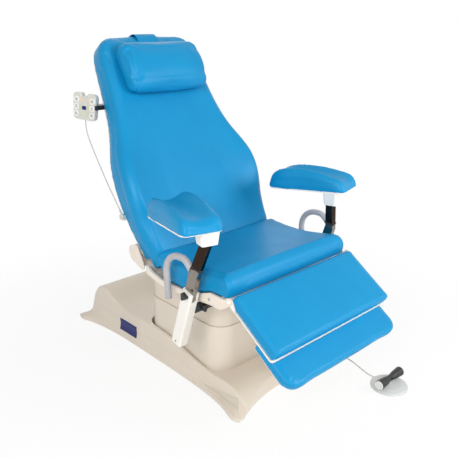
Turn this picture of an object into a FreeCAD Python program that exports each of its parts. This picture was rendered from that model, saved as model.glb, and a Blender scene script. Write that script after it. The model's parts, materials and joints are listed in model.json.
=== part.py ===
"""Powered examination and donor chair, a parametric FreeCAD document.

Millimetres. +X is the way the patient faces, +Y the patient's left, +Z up. The origin is
on the floor under the middle of the base.
"""
import FreeCAD, Part
import math
import os
import re
import Sketcher

V = FreeCAD.Vector
X_AXIS = V(1, 0, 0)
Y_AXIS = V(0, 1, 0)
Z_AXIS = V(0, 0, 1)

# Driving dimensions
DIMENSIONS = {
    # Moulded base cover
    "base_half_length": 555,
    "base_waist": 248,
    "base_foot": 305,
    "foot_tip_half": 286,
    "ridge_half": 235,
    "ridge_round": 8,
    "rear_top": 184,
    "front_top": 76,
    "end_lip": 14,
    "hem": 2,
    "lip_height": 22,
    "cover_wall": 4,
    "end_bow": 62,
    "end_bow_half": 265,
    "well_floor": 80,
    "well_gap": 6,
    # Steel chassis in the base
    "chassis_rail_y": 150,
    "chassis_rail_width": 50,
    "chassis_height": 36,
    "chassis_bottom": 14,
    "chassis_half_length": 425,
    "chassis_half_width": 225,
    "foot_x": 405,
    "foot_y": 200,
    "foot_radius": 24,
    # Lifting column and its two-part shroud
    "column_x": 145,
    "column_length": 190,
    "column_width": 150,
    "column_wall": 6,
    "column_play": 0.5,
    "column_top": 300,
    "inner_bottom": 74,
    "head_bottom": 366,
    "head_plate": 12,
    "shroud_rear": -85,
    "shroud_front": 375,
    "shroud_half": 215,
    "shroud_round": 75,
    "shroud_wall": 4,
    "shroud_play": 1.5,
    "shroud_seam": 268,
    "upper_bottom": 102,
    "upper_lid": 375,
    "upper_step": 72,
    # Seat frame, tray and cushion
    "rail_y": 165,
    "rail_width": 30,
    "rail_bottom": 441,
    "rail_top": 471,
    "rail_rear": 140,
    "rail_front": 490,
    "pan_plate": 4,
    "ear_thick": 8,
    "ear_radius": 26,
    "tray_half": 323,
    "tray_wall": 4,
    "tray_rim": 10,
    "tray_rear": 80,
    "tray_front": 498,
    "tray_low_x": 177,
    "tray_low": 405,
    "tray_rear_low": 429,
    "tray_front_low": 437,
    "cheek_thick": 5,
    "seat_half": 315,
    "seat_top": 541,
    "seat_rear": 131,
    "seat_front": 534,
    "seat_skirt": 444,
    "seat_front_skirt": 485,
    "seat_dip": 5,
    "seat_roll": 34,
    "seat_roll_rise": 17,
    # Back rest, in its own frame with the hinge at the origin
    "back_hinge_x": 63,
    "back_hinge_z": 440,
    "back_angle": 30,
    "back_front": 101,
    "back_thick": 90,
    "back_bottom": -6,
    "back_top": 939,
    "torsion_radius": 15,
    "board_thick": 14,
    "upright_y": 105,
    "upright_width": 44,
    "upright_thick": 8,
    "back_lever": 38,
    "drive_y": 125,
    "lever_thick": 12,
    "lever_tip": 7,
    "running_fit": 0.05,
    # Leg rest and foot panel, in their own frame with the hinge at the origin
    "leg_hinge_x": 541,
    "leg_hinge_z": 485,
    "leg_angle": 34.7,
    "leg_half": 313,
    "leg_top": 32.7,
    "leg_under": -12.3,
    "leg_end": 239,
    "leg_board_half": 315,
    "leg_ear_half": 317,
    "leg_board_thick": 5,
    "leg_board_end": 240.5,
    "leg_pin_radius": 4,
    "leg_lever": 42,
    "foot_top": -21.5,
    "foot_under": -59,
    "foot_plate": 6,
    "foot_rear": 155,
    "foot_front": 341,
    "foot_half": 303,
    "tongue_rear": 40,
    "tongue_half": 160,
    "guide_rear": 75,
    "guide_front": 140,
    # Arm rests, the left one
    "post_x": 325,
    "post_y": 363,
    "post_z": 265,
    "post_lean": 18,
    "post_depth": 50,
    "post_width": 40,
    "post_length": 236,
    "post_round": 7,
    "bar_depth": 40,
    "bar_width": 20,
    "bar_play": 0.3,
    "bar_bottom": 67,
    "bar_kink": 302,
    "bar_top_x": 440,
    "bar_top_y": 328,
    "bar_top_z": 664,
    "bar_twist": 15,
    "stud_radius": 8,
    "stud_length": 24,
    "crossbar_rear": 374,
    "crossbar_depth": 20,
    "crossbar_bottom": 396,
    "crossbar_height": 26,
    "handle_radius": 12,
    "handle_y": 364,
    "knob_radius": 10,
    "knob_lobe": 6,
    "knob_lobe_offset": 9,
    "knob_height": 13,
    "knob_stud": 4,
    "knob_gap": 1,
    "post_knob_along": 220,
    "bracket_knob_y": 308,
    "pad_swivel": 14.9,
    "pad_pitch": 3.8,
    "pad_offset": 38,
    "pad_front": 62,
    "pad_length": 332,
    "pad_half": 74,
    "pad_plate": 5,
    "block_height": 52,
    "block_shift": 6,
    # Head pillow and its strap
    "pillow_half": 187,
    "pillow_low": 662,
    "pillow_high": 874,
    "pillow_thick": 86,
    "strap_half": 58,
    "strap_thick": 3,
    # Handset
    "handset_x": -318,
    "handset_y": -300,
    "handset_z": 1030,
    "handset_turn": 26,
    "handset_roll": 7,
    "handset_size": 105,
    "handset_thick": 25,
    "handset_round": 16,
    "notch_width": 32,
    "notch_depth": 11,
    "key_radius": 7,
    "key_gap": 0.3,
    "key_column": 36,
    "key_pitch": 28,
    "key_well": 6,
    "key_height": 6.5,
    "cord_radius": 2.25,
    # Foot switch
    "switch_x": 790,
    "switch_y": 305,
    "switch_radius": 72,
    "switch_height": 13,
    "roller_z": 35,
    "roller_half": 75,
    "roller_end": 19,
    "roller_waist": 12,
    "axle_radius": 4,
    "lead_radius": 2.5,
}

doc = FreeCAD.newDocument("examination_chair")
sheet = doc.addObject("Spreadsheet::Sheet", "dims")
for row, (alias, value) in enumerate(DIMENSIONS.items(), 1):
    sheet.set(f"A{row}", alias.replace("_", " "))
    sheet.set(f"B{row}", str(value))
    sheet.setAlias(f"B{row}", alias)
doc.recompute()


class Dims:
    """The sheet's cells as plain numbers."""

    def __getattr__(self, name):
        return float(sheet.get(name))


D = Dims()
nodes = []


def bound(text):
    """Turn the words of a formula that are cells into references to the sheet."""
    return re.sub(r"[a-z_]+", lambda word: "dims." + word[0] if word[0] in DIMENSIONS else word[0], text)


def keep(made, label):
    """Name a finished sub-part and list it for export."""
    made.Label = label
    nodes.append(made)
    return made


def place(made, x="0", y="0", z="0"):
    """Bind the place of an object to the sheet."""
    for axis, text in (("x", x), ("y", y), ("z", z)):
        made.setExpression(f"Placement.Base.{axis}", bound(text))
    return made


# Shapes made with Part's own functions

def outline(points, radii=0.0, closed=True):
    """A wire of straight runs whose corners are rounded by tangent arcs."""
    count = len(points)
    if not isinstance(radii, (list, tuple)):
        radii = [radii] * count
    corners = []
    for index, point in enumerate(points):
        radius = radii[index]
        if radius == 0 or (not closed and index in (0, count - 1)):
            corners.append((point, None, point))
            continue
        before = (point - points[index - 1]).normalize()
        after = (points[(index + 1) % count] - point).normalize()
        half_turn = before.getAngle(after) / 2
        inward = (after - before).normalize()
        reach = radius * math.tan(half_turn)
        middle = point + inward * (radius / math.cos(half_turn) - radius)
        corners.append((point - before * reach, middle, point + after * reach))
    edges = []
    for index, (start, middle, end) in enumerate(corners):
        if middle:
            edges.append(Part.Arc(start, middle, end).toShape())
        if index == count - 1 and not closed:
            continue
        following = corners[(index + 1) % count][0]
        if end.distanceToPoint(following) > 1e-6:
            edges.append(Part.LineSegment(end, following).toShape())
    return Part.Wire(edges)


def side_profile(points, radii=0.0, y=0.0):
    """A closed outline in the plane of X and Z at the given y."""
    return outline([V(x, y, z) for x, z in points], radii)


def prism(points, half, radii=0.0):
    """A side profile drawn out evenly to both sides of the middle plane."""
    face = Part.Face(side_profile(points, radii, -half))
    return face.extrude(V(0, 2 * half, 0))


def slab(x0, x1, y0, y1, z0, z1):
    """A plain block between two corners."""
    return Part.makeBox(x1 - x0, y1 - y0, z1 - z0, V(x0, y0, z0))


def rounded_slab(x0, x1, half, z0, z1, radius):
    """An upright block with rounded corners, even about the middle plane."""
    corners = [V(x0, -half, z0), V(x1, -half, z0), V(x1, half, z0), V(x0, half, z0)]
    return Part.Face(outline(corners, radius)).extrude(V(0, 0, z1 - z0))


def rod(start, direction, length, radius):
    """A round bar."""
    return Part.makeCylinder(radius, length, start, direction)


def tube(path, radius):
    """A round section drawn along a path, with its volume set against section times length."""
    first = path.OrderedEdges[0]
    start = first.valueAt(first.FirstParameter)
    tangent = first.tangentAt(first.FirstParameter)
    ring = Part.Wire(Part.makeCircle(radius, start, tangent))
    made = path.makePipeShell([ring], True, False)
    expected = math.pi * radius**2 * path.Length
    print(f"tube length {path.Length:.1f} volume ratio {made.Volume / expected:.4f}")
    return made


def cord_path(points):
    """A cord's route: each arc as large as its two runs allow."""
    radii = [0.0]
    for before, point, after in zip(points, points[1:], points[2:]):
        turn = (point - before).getAngle(after - point)
        shorter = min((point - before).Length, (after - point).Length)
        radii.append(0.45 * shorter / math.tan(turn / 2))
    radii.append(0.0)
    print("cord radii", [round(radius) for radius in radii[1:-1]])
    return outline(points, radii, closed=False)


def hinged(shape, x, z, angle):
    """Bring a shape from a hinge's own frame to its place on the chair."""
    moved = shape.copy()
    moved.Placement = FreeCAD.Placement(V(x, 0, z), FreeCAD.Rotation(Y_AXIS, angle)).multiply(moved.Placement)
    return moved


def on_back(shape):
    """Bring a shape from the back rest's frame to its place."""
    return hinged(shape, D.back_hinge_x, D.back_hinge_z, -D.back_angle)


def on_leg(shape):
    """Bring a shape from the leg rest's frame to its place."""
    return hinged(shape, D.leg_hinge_x, D.leg_hinge_z, D.leg_angle)


def shaped(label, shape):
    """A sub-part whose shape comes from Part's own functions."""
    made = doc.addObject("Part::Feature", label)
    made.Shape = shape.removeSplitter()
    return keep(made, label)


def mirrored(shape):
    """The same shape on the patient's right."""
    return shape.mirror(V(0, 0, 0), Y_AXIS)


# Document objects: bodies, sketches and features

def sketch_on(body, role, lift="0"):
    """A sketch on one of a body's own origin planes, lifted off it where asked."""
    made = body.newObject("Sketcher::SketchObject", "sketch")
    plane = [feature for feature in body.Origin.OriginFeatures if feature.Role == role][0]
    made.AttachmentSupport = [(plane, "")]
    made.MapMode = "FlatFace"
    if lift != "0":
        made.setExpression("AttachmentOffset.Base.z", bound(lift))
    return made


def hold(made, geometry, position, x, y):
    """Hold one point of a sketch at two formulas."""
    for kind, axis, text in (("DistanceX", -2, x), ("DistanceY", -1, y)):
        if text == "0":
            made.addConstraint(Sketcher.Constraint("PointOnObject", geometry, position, axis))
            continue
        index = made.addConstraint(Sketcher.Constraint(kind, -1, 1, geometry, position, 1.0))
        made.setExpression(f"Constraints[{index}]", bound(text))


def polygon(made, corners):
    """A closed loop of lines whose corners are held by formulas."""
    count = len(corners)
    spread = [V(math.cos(2 * math.pi * i / count), math.sin(2 * math.pi * i / count), 0) for i in range(count)]
    first = len(made.Geometry)
    for index in range(count):
        made.addGeometry(Part.LineSegment(spread[index], spread[(index + 1) % count]))
    for index in range(count):
        following = first + (index + 1) % count
        made.addConstraint(Sketcher.Constraint("Coincident", first + index, 2, following, 1))
    for index, (x, y) in enumerate(corners):
        hold(made, first + index, 1, x, y)


def rectangle(made, x0, x1, y0, y1):
    """A rectangle between four formulas."""
    polygon(made, [(x0, y0), (x1, y0), (x1, y1), (x0, y1)])


def circle(made, x, y, radius):
    """A circle held by its centre and radius."""
    index = made.addGeometry(Part.Circle(V(1, 1, 0), Z_AXIS, 1))
    hold(made, index, 3, x, y)
    constraint = made.addConstraint(Sketcher.Constraint("Radius", index, 1.0))
    made.setExpression(f"Constraints[{constraint}]", bound(radius))


def pad(body, made, length, symmetric=False, back=False):
    """Draw a sketch out into material."""
    feature = body.newObject("PartDesign::Pad", "pad")
    feature.Profile = made
    feature.setExpression("Length", bound(length))
    feature.SideType = "Symmetric" if symmetric else "One side"
    feature.Reversed = back
    return feature


def pocket(body, made, length, symmetric=False, back=False):
    """Cut a sketch into material, and make sure that it did cut."""
    doc.recompute()
    before = body.Shape.Volume
    feature = body.newObject("PartDesign::Pocket", "pocket")
    feature.Profile = made
    feature.setExpression("Length", bound(length))
    feature.SideType = "Symmetric" if symmetric else "One side"
    feature.Reversed = back
    doc.recompute()
    if body.Shape.Volume > before - 1:
        raise RuntimeError(f"a pocket of {body.Name} cuts nothing")
    return feature


def revolve(body, made, axis):
    """Turn a sketch about one of its axes."""
    feature = body.newObject("PartDesign::Revolution", "revolution")
    feature.Profile = made
    feature.ReferenceAxis = (made, [axis])
    feature.Angle = 360
    return feature


def fillet(body, radius, wanted):
    """Round the edges of a body for which wanted says yes."""
    doc.recompute()
    tip = body.Tip
    names = [f"Edge{i}" for i, edge in enumerate(tip.Shape.Edges, 1) if wanted(edge)]
    feature = body.newObject("PartDesign::Fillet", "fillet")
    feature.Base = (tip, names)
    feature.setExpression("Radius", bound(radius))
    return feature


def upright(edge):
    """Whether an edge is straight and runs along the body's Z."""
    ends = edge.Vertexes
    return len(ends) == 2 and abs((ends[1].Point - ends[0].Point).normalize().z) > 0.999


def block(x0, x1, y0, y1, z0, z1):
    """A Part::Box between six formulas."""
    made = doc.addObject("Part::Box", "block")
    for name, low, high in (("Length", x0, x1), ("Width", y0, y1), ("Height", z0, z1)):
        made.setExpression(name, bound(f"({high}) - ({low})"))
    return place(made, x0, y0, z0)


def cylinder(x, y, z, direction, length, radius):
    """A Part::Cylinder along a direction, held by formulas."""
    made = doc.addObject("Part::Cylinder", "cylinder")
    made.Placement = FreeCAD.Placement(V(0, 0, 0), FreeCAD.Rotation(Z_AXIS, direction))
    made.setExpression("Height", bound(length))
    made.setExpression("Radius", bound(radius))
    return place(made, x, y, z)


def fuse(*solids):
    """Weld document objects into one."""
    made = doc.addObject("Part::MultiFuse", "weld")
    made.Shapes = list(solids)
    made.Refine = True
    return made


def cut(base, tool):
    """Take one document object out of another."""
    made = doc.addObject("Part::Cut", "trim")
    made.Base = base
    made.Tool = tool
    return made


# Base cover

def ridge_height(x):
    """Height of the cover's top edge along the base: rear block, slope and front deck."""
    stations = (
        (-D.base_half_length, 1.7 * D.end_lip),
        (-520, 46),
        (-480, 140),
        (-435, D.rear_top),
        (-310, 156),
        (-60, 140),
        (165, 114),
        (330, 83),
        (470, D.front_top),
        (520, 50),
        (D.base_half_length, 1.7 * D.end_lip),
    )
    return dict(stations).get(x), [station[0] for station in stations]


def cover_section(x, inset):
    """One cross-section: lip, hollow sweep, leaning wall, ridge and deck, drawn in by inset."""
    height = ridge_height(x)[0] - inset
    at_tip = abs(x) >= D.base_half_length
    share = (x / D.base_half_length) ** 4
    foot = D.foot_tip_half if at_tip else D.base_waist + (D.base_foot - D.base_waist) * share
    foot -= inset
    lip = min(D.lip_height, D.end_lip if at_tip else D.lip_height) - inset
    low = D.hem - inset
    ridge = D.ridge_half - inset
    edge = min(D.ridge_round, 0.3 * (height - lip))
    wall = ridge + 0.3 * (foot - ridge) * (1 - share)
    wall_foot = lip + 0.5 * (height - edge - lip)
    sweep = V(x, wall + 0.3 * (foot - wall), lip + 0.3 * (wall_foot - lip))
    half = [
        V(x, foot, low),
        V(x, foot, lip),
        V(x, wall, wall_foot),
        V(x, ridge, height - edge),
        V(x, ridge - edge, height),
    ]
    round_over = V(x, ridge - 0.3 * edge, height - 0.3 * edge)

    def other(point):
        return V(point.x, -point.y, point.z)

    def line(start, end):
        return Part.LineSegment(start, end).toShape()

    right = [
        line(half[0], half[1]),
        Part.Arc(half[1], sweep, half[2]).toShape(),
        line(half[2], half[3]),
        Part.Arc(half[3], round_over, half[4]).toShape(),
    ]
    left = [
        Part.Arc(other(half[4]), other(round_over), other(half[3])).toShape(),
        line(other(half[3]), other(half[2])),
        Part.Arc(other(half[2]), other(sweep), other(half[1])).toShape(),
        line(other(half[1]), other(half[0])),
    ]
    deck = line(half[4], other(half[4]))
    floor = line(other(half[0]), half[0])
    return Part.Wire(right + [deck] + left + [floor])


def cover_body(inset):
    """The whole moulding as a solid, drawn in by inset, with its hollow ends."""
    stations = ridge_height(0)[1]
    body = Part.makeLoft([cover_section(x, inset) for x in stations], True, False)
    bow = (D.end_bow_half**2 + D.end_bow**2) / (2 * D.end_bow)
    middle = D.base_half_length - D.end_bow + bow
    for side in (-1, 1):
        hollow = rod(V(side * middle, 0, -50), Z_AXIS, 400, bow + inset)
        body = body.cut(hollow)
    return body


def well(grow, floor):
    """The oblong well round the shroud."""
    gap = D.well_gap + grow
    return rounded_slab(
        D.shroud_rear - 3 * gap,
        D.shroud_front + 3 * gap,
        D.shroud_half + gap,
        floor,
        D.rear_top + 50,
        D.shroud_round + gap,
    )


def base_cover():
    """The moulded cover, open below, with the well, the shroud's opening and two cable holes."""
    wall = D.cover_wall
    shell = cover_body(0.0).cut(well(0.0, D.well_floor))
    inside = cover_body(wall).cut(well(wall, D.well_floor - wall))
    shell = shell.cut(inside)
    opening = rounded_slab(
        D.shroud_rear + D.shroud_wall,
        D.shroud_front - D.shroud_wall,
        D.shroud_half - D.shroud_wall,
        0,
        D.rear_top,
        D.shroud_round - D.shroud_wall,
    )
    shell = shell.cut(opening)
    shell = shell.cut(inlet_block(0.0))
    shell = shell.cut(rod(V(GLAND.x, GLAND.y - 40, GLAND.z), Y_AXIS, 60, GLAND_ROOT))
    return shaped("base_cover", shell)


def inlet_block(shrink):
    """The block of the mains inlet in the middle of the rear wall."""
    rear = -D.base_half_length + D.end_bow - 3
    return slab(rear + shrink, rear + 45, -25 + shrink, 25 - shrink, 50 + shrink, 80 - shrink)


def mains_inlet():
    """The inlet with its recess and three contact pins."""
    rear = -D.base_half_length + D.end_bow - 3
    block_shape = inlet_block(0.0)
    recess = slab(rear - 1, rear + 20, -17, 17, 56, 74)
    shape = block_shape.cut(recess)
    for y in (-9, 0, 9):
        shape = shape.fuse(slab(rear + 4, rear + 21, y - 1, y + 1, 62, 68))
    return shaped("mains_inlet", shape)


# Foot switch lead: gland on the cover's right side and route over the floor
GLAND = V(100, 249, 13)
GLAND_ROOT = 7.0
GLAND_LENGTH = 26.0
FLOOR_LIE = D.lead_radius + 0.3
LEAD_ROUTE = [
    V(719.5, 306, 6),
    V(694, 307, 3.4),
    V(650, 322, FLOOR_LIE),
    V(592, 341, FLOOR_LIE),
    V(528, 352, FLOOR_LIE),
    V(460, 366, FLOOR_LIE),
    V(392, 369, FLOOR_LIE),
    V(325, 358, FLOOR_LIE),
    V(262, 344, FLOOR_LIE),
    V(200, 340, FLOOR_LIE),
    V(146, 336, FLOOR_LIE),
    V(113, 320, 5),
    V(101, 296, 10.5),
    V(GLAND.x, GLAND.y + GLAND_LENGTH, GLAND.z),
]


def cord_gland():
    """The tapered strain relief of the foot switch lead."""
    root = rod(V(GLAND.x, GLAND.y - 14, GLAND.z), Y_AXIS, 14, GLAND_ROOT)
    collar = rod(GLAND, Y_AXIS, 4, GLAND_ROOT + 3)
    start = V(GLAND.x, GLAND.y + 4, GLAND.z)
    taper = Part.makeCone(GLAND_ROOT, D.lead_radius + 1, GLAND_LENGTH - 4, start, Y_AXIS)
    return shaped("cord_gland", root.fuse([collar, taper]))


def base_chassis():
    """Two long rails, two cross members over the levelling feet and the column's plate."""
    top = "chassis_bottom + chassis_height"
    parts = []
    for side in ("-", ""):
        middle = f"({side}chassis_rail_y)"
        parts.append(block(
            "-chassis_half_length", "chassis_half_length",
            f"{middle} - chassis_rail_width / 2", f"{middle} + chassis_rail_width / 2",
            "chassis_bottom", top,
        ))
        end = f"({side}foot_x)"
        parts.append(block(
            f"{end} - foot_radius", f"{end} + foot_radius",
            "-chassis_half_width", "chassis_half_width", "chassis_bottom", top,
        ))
    parts.append(block(
        "column_x - 140", "column_x + 140", "-chassis_rail_y", "chassis_rail_y",
        "chassis_bottom", "chassis_bottom + 8",
    ))
    keep(fuse(*parts), "base_chassis")


def levelling_feet():
    """Four turned rubber feet under the cross members."""
    feet = []
    for x in ("-foot_x", "foot_x"):
        for y in ("-foot_y", "foot_y"):
            feet.append(cylinder(x, y, "0", Z_AXIS, "chassis_bottom", "foot_radius"))
    group = doc.addObject("Part::Compound", "feet")
    group.Links = feet
    keep(group, "levelling_feet")


def hollow(body, wall):
    """Open a body at both ends and leave a wall all round."""
    doc.recompute()
    tip = body.Tip
    before = tip.Shape.Volume
    names = [f"Face{i}" for i, face in enumerate(tip.Shape.Faces, 1) if face.BoundBox.ZLength < 0.01]
    feature = body.newObject("PartDesign::Thickness", "thickness")
    feature.Base = (tip, names)
    feature.setExpression("Value", bound(wall))
    feature.Reversed = True
    feature.Join = "Intersection"
    doc.recompute()
    if body.Shape.Volume > before:
        raise RuntimeError(f"the wall of {body.Name} grows outwards")
    return feature


def box_tube(label, x0, x1, half, bottom, top, wall, corner):
    """An upright tube of rounded box section: pad, rounded corners and an even wall."""
    body = doc.addObject("PartDesign::Body", label)
    outer = sketch_on(body, "XY_Plane", bottom)
    rectangle(outer, x0, x1, f"-({half})", half)
    pad(body, outer, f"({top}) - ({bottom})")
    fillet(body, corner, upright)
    hollow(body, wall)
    return keep(body, label)


def column():
    """The two stages of the lifting column."""
    half_length = "column_length / 2"
    box_tube(
        "column_outer", f"column_x - {half_length}", f"column_x + {half_length}", "column_width / 2",
        "chassis_bottom + 8", "column_top", "column_wall", "column_wall * 2",
    )
    inset = "(column_wall + column_play)"
    box_tube(
        "column_inner", f"column_x - {half_length} + {inset}", f"column_x + {half_length} - {inset}",
        f"column_width / 2 - {inset}", "inner_bottom", "head_bottom", "column_wall", "column_wall * 1.5",
    )


def shroud_lower():
    """The fixed shroud, standing on the floor of the well."""
    box_tube(
        "shroud_lower", "shroud_rear", "shroud_front", "shroud_half",
        "well_floor", "shroud_seam", "shroud_wall", "shroud_round",
    )


def control_box():
    """The control unit on the chassis, with a lid that overhangs a little."""
    body = doc.addObject("PartDesign::Body", "control_box")
    base = sketch_on(body, "XY_Plane", "chassis_bottom + chassis_height")
    rectangle(base, "-370", "-210", "-110", "110")
    pad(body, base, "58")
    lid = sketch_on(body, "XY_Plane", "chassis_bottom + chassis_height + 58")
    rectangle(lid, "-373", "-207", "-113", "113")
    pad(body, lid, "6")
    keep(body, "control_box")


# Seat

def tray_underside():
    """The tray's lower line from rear to front, rounded at its lowest point."""
    return [
        V(D.tray_rear, 0, D.tray_rear_low),
        V(D.tray_low_x, 0, D.tray_low),
        V(D.tray_front, 0, D.tray_front_low),
    ]


def under_tray_height(x):
    """Height of the tray's lower line, taken as two straight runs."""
    rear, low, front = tray_underside()
    start, end = (rear, low) if x < low.x else (low, front)
    return start.z + (end.z - start.z) * (x - start.x) / (end.x - start.x)


def skirt_line():
    """The lower edge of the seat cushion's side, which the tray's rim follows."""
    return [
        (D.tray_front, D.seat_front_skirt - 0.5),
        (445, D.seat_front_skirt - 0.5),
        (345, D.seat_skirt + 2),
        (172, D.seat_skirt - 0.5),
        (112, 457),
        (D.tray_rear, 474),
    ]


def shroud_upper():
    """The rising shroud: trimmed to the tray's underside and stepped down under the back's hinge."""
    gap = D.shroud_wall + D.shroud_play
    rear = D.shroud_rear + gap
    front = D.shroud_front - gap
    half = D.shroud_half - gap
    corner = D.shroud_round - gap
    wall = D.shroud_wall
    outer = rounded_slab(rear, front, half, D.upper_bottom, D.rail_bottom, corner)
    above = [
        (rear - 10, D.upper_lid),
        (D.upper_step, D.upper_lid),
        (D.upper_step, D.tray_rear_low - 4),
        (D.tray_rear, D.tray_rear_low - 0.5),
        (D.tray_low_x, D.tray_low - 0.5),
        (D.tray_front, D.tray_front_low - 0.5),
        (D.tray_front, D.rail_top),
        (rear - 10, D.rail_top),
    ]
    outer = outer.cut(prism(above, D.tray_half))
    inner = rounded_slab(rear + wall, front - wall, half - wall, 0, D.rail_top, corner - wall)
    lid = slab(rear - 10, D.upper_step, -half, half, D.upper_lid - wall, D.rail_top)
    return shaped("shroud_upper", outer.cut(inner.cut(lid)))


def seat_tray():
    """The cream tray: rim that follows the cushion, rounded underside, front cheeks for the leg hinge."""
    wall = D.tray_wall
    rear, low, front = tray_underside()
    lower = [(rear.x, rear.z), (low.x, low.z), (front.x, front.z)]
    outer = prism(lower + skirt_line(), D.tray_half, [0, 260, 0] + [0] * 6)
    lengthwise = [
        f for f in outer.Edges
        if f.CenterOfMass.z < D.tray_front_low + 2
        and abs(abs(f.CenterOfMass.y) - D.tray_half) < 1
        and f.BoundBox.XLength > 10
    ]
    outer = outer.makeFillet(18, lengthwise)
    lifted = [(rear.x + wall, rear.z + wall), (low.x, low.z + wall), (front.x - wall, front.z + wall)]
    above = [(front.x - wall, D.seat_top), (rear.x + wall, D.seat_top)]
    inner = prism(lifted + above, D.tray_half - wall, [0, 260, 0, 0, 0])
    tray = outer.cut(inner)
    for side in (-1, 1):
        y0, y1 = sorted((side * (D.tray_half - D.tray_rim), side * (D.tray_half - wall + 0.5)))
        ledge = slab(rear.x + wall, front.x - wall, y0, y1, D.tray_low, D.seat_top).common(outer)
        tray = tray.fuse(ledge)
    tray = tray.cut(slab(70, 350, -195, 195, 380, 438))
    tray = tray.cut(slab(70, 90, -195, 195, 380, D.seat_top))
    for side in (-1, 1):
        y0, y1 = sorted((side * 148, side * 182))
        riser_hole = slab(D.crossbar_rear - 1, D.crossbar_rear + D.crossbar_depth + 1, y0, y1, 400, 445)
        tray = tray.cut(riser_hole)
    tray = tray.cut(rod(V(480, D.drive_y, LEG_DRIVE_Z), X_AXIS, 40, 9))
    cheek_profile = [
        (470, under_tray_height(470) + 6),
        (D.tray_front, D.tray_front_low + 3),
        (525, 456),
        (552, 478),
        (550, 496),
        (532, 496),
        (522, D.seat_front_skirt - 0.5),
        (470, D.seat_front_skirt - 0.5),
    ]
    for side in (-1, 1):
        middle = side * (D.tray_half - D.cheek_thick / 2)
        cheek = prism(cheek_profile, D.cheek_thick / 2, [0, 10, 14, 9, 9, 9, 6, 0])
        cheek.translate(V(0, middle, 0))
        tray = tray.fuse(cheek)
        pin_hole = rod(V(D.leg_hinge_x, middle - 20, D.leg_hinge_z), Y_AXIS, 40, D.leg_pin_radius)
        tray = tray.cut(pin_hole)
    return shaped("seat_tray", tray)


def cushion_loft(sections):
    """A closed cushion through its cross-sections."""
    return Part.makeLoft(sections, True, False)


def seat_section(y, draw, crown):
    """One lengthwise cut of the seat cushion: front roll, shallow dip, slanted rear face."""
    top = D.seat_top - draw + crown
    front = D.seat_front - 0.6 * draw
    rear = D.seat_rear + 0.5 * draw
    roll = D.seat_roll
    crest = top + D.seat_roll_rise
    skirt = D.seat_skirt
    points = {
        "rear_low": V(172 + 0.3 * draw, y, skirt),
        "low_bend": V(345, y, skirt + 2.5),
        "front_bend": V(445, y, D.seat_front_skirt),
        "front_low": V(front - 5, y, D.seat_front_skirt),
        "front_rise": V(front, y, crest - roll),
        "roll_middle": V(front - 0.3 * roll, y, crest - 0.3 * roll),
        "front_top": V(front - roll, y, crest),
        "dip": V(330, y, top - D.seat_dip),
        "rear_top": V(rear + 24, y, top - 3),
        "rear_round": V(rear + 7, y, top - 9),
        "rear_edge": V(rear + 5, y, top - 24),
        "rear_waist": V(160 + 0.4 * draw, y, 478),
    }

    def line(start, end):
        return Part.LineSegment(points[start], points[end]).toShape()

    def arc(start, middle, end):
        return Part.Arc(points[start], points[middle], points[end]).toShape()

    return Part.Wire([
        line("rear_low", "low_bend"),
        line("low_bend", "front_bend"),
        line("front_bend", "front_low"),
        line("front_low", "front_rise"),
        arc("front_rise", "roll_middle", "front_top"),
        arc("front_top", "dip", "rear_top"),
        arc("rear_top", "rear_round", "rear_edge"),
        line("rear_edge", "rear_waist"),
        line("rear_waist", "rear_low"),
    ])


def seat_cushion():
    """The seat cushion with drawn-in sides, hollowed below for the frame."""
    half = D.seat_half
    inner_side = [(half - 6, 5, -1), (half - 18, 1.2, -0.5), (half - 42, 0, 0), (half - 90, 0, 0.5)]
    inner_side += [(half - 180, 0, 1.3)]
    side = [(half, 14, -2)] + inner_side
    stations = [(-y, draw, crown) for y, draw, crown in side] + [(0, 0, 2)] + list(reversed(side))
    cushion = cushion_loft([seat_section(y, draw, crown) for y, draw, crown in stations])
    room = [(176, 430), (420, 430), (420, D.rail_top), (176, D.rail_top)]
    hollow_room = prism(room, 272)
    notches = []
    for side_sign in (-1, 1):
        middle = side_sign * D.rail_y
        reach = D.rail_width / 2 + 1
        notches.append(slab(140, 200, middle - reach, middle + reach, 430, D.rail_top))
    shaped("seat_cushion", cushion.cut([hollow_room] + notches))


def seat_frame():
    """Two rails, the pan plate they carry and the bearing ears of the back's torsion tube."""
    parts = [block(
        "205", "420", "-(rail_y + rail_width / 2)", "rail_y + rail_width / 2", "rail_top - pan_plate", "rail_top",
    )]
    bores = []
    for side in ("-", ""):
        middle = f"({side}rail_y)"
        parts.append(block(
            "rail_rear", "420", f"{middle} - rail_width / 2", f"{middle} + rail_width / 2", "rail_bottom",
            "rail_top - pan_plate",
        ))
        parts.append(block(
            "420", "rail_front", f"{middle} - rail_width / 2", f"{middle} + rail_width / 2", "rail_bottom",
            "rail_top - pan_plate",
        ))
        low = f"{middle} - ear_thick / 2"
        parts.append(cylinder("back_hinge_x", low, "back_hinge_z", Y_AXIS, "ear_thick", "ear_radius"))
        parts.append(block(
            "back_hinge_x", "rail_rear + 15", low, f"{middle} + ear_thick / 2", "back_hinge_z - 13", "rail_bottom + 2",
        ))
        bores.append(cylinder(
            "back_hinge_x", f"{middle} - ear_thick", "back_hinge_z", Y_AXIS, "2 * ear_thick",
            "torsion_radius + running_fit",
        ))
    frame = cut(fuse(*parts), fuse(*bores))
    keep(frame, "seat_frame")


def lift_head():
    """The plate on the column and the four risers that carry the seat rails."""
    top = "head_bottom + head_plate"
    parts = [block("upper_step + 2", "column_x + 95", "-90", "90", "head_bottom", top)]
    for x0, x1 in (("158", "188"), ("205", "235")):
        parts.append(block(x0, x1, "-(rail_y + 15)", "rail_y + 15", "head_bottom", top))
        for side in ("-", ""):
            parts.append(block(
                x0, x1, f"({side}rail_y) - 15", f"({side}rail_y) + 15", top, "rail_bottom",
            ))
    keep(fuse(*parts), "lift_head")


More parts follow.
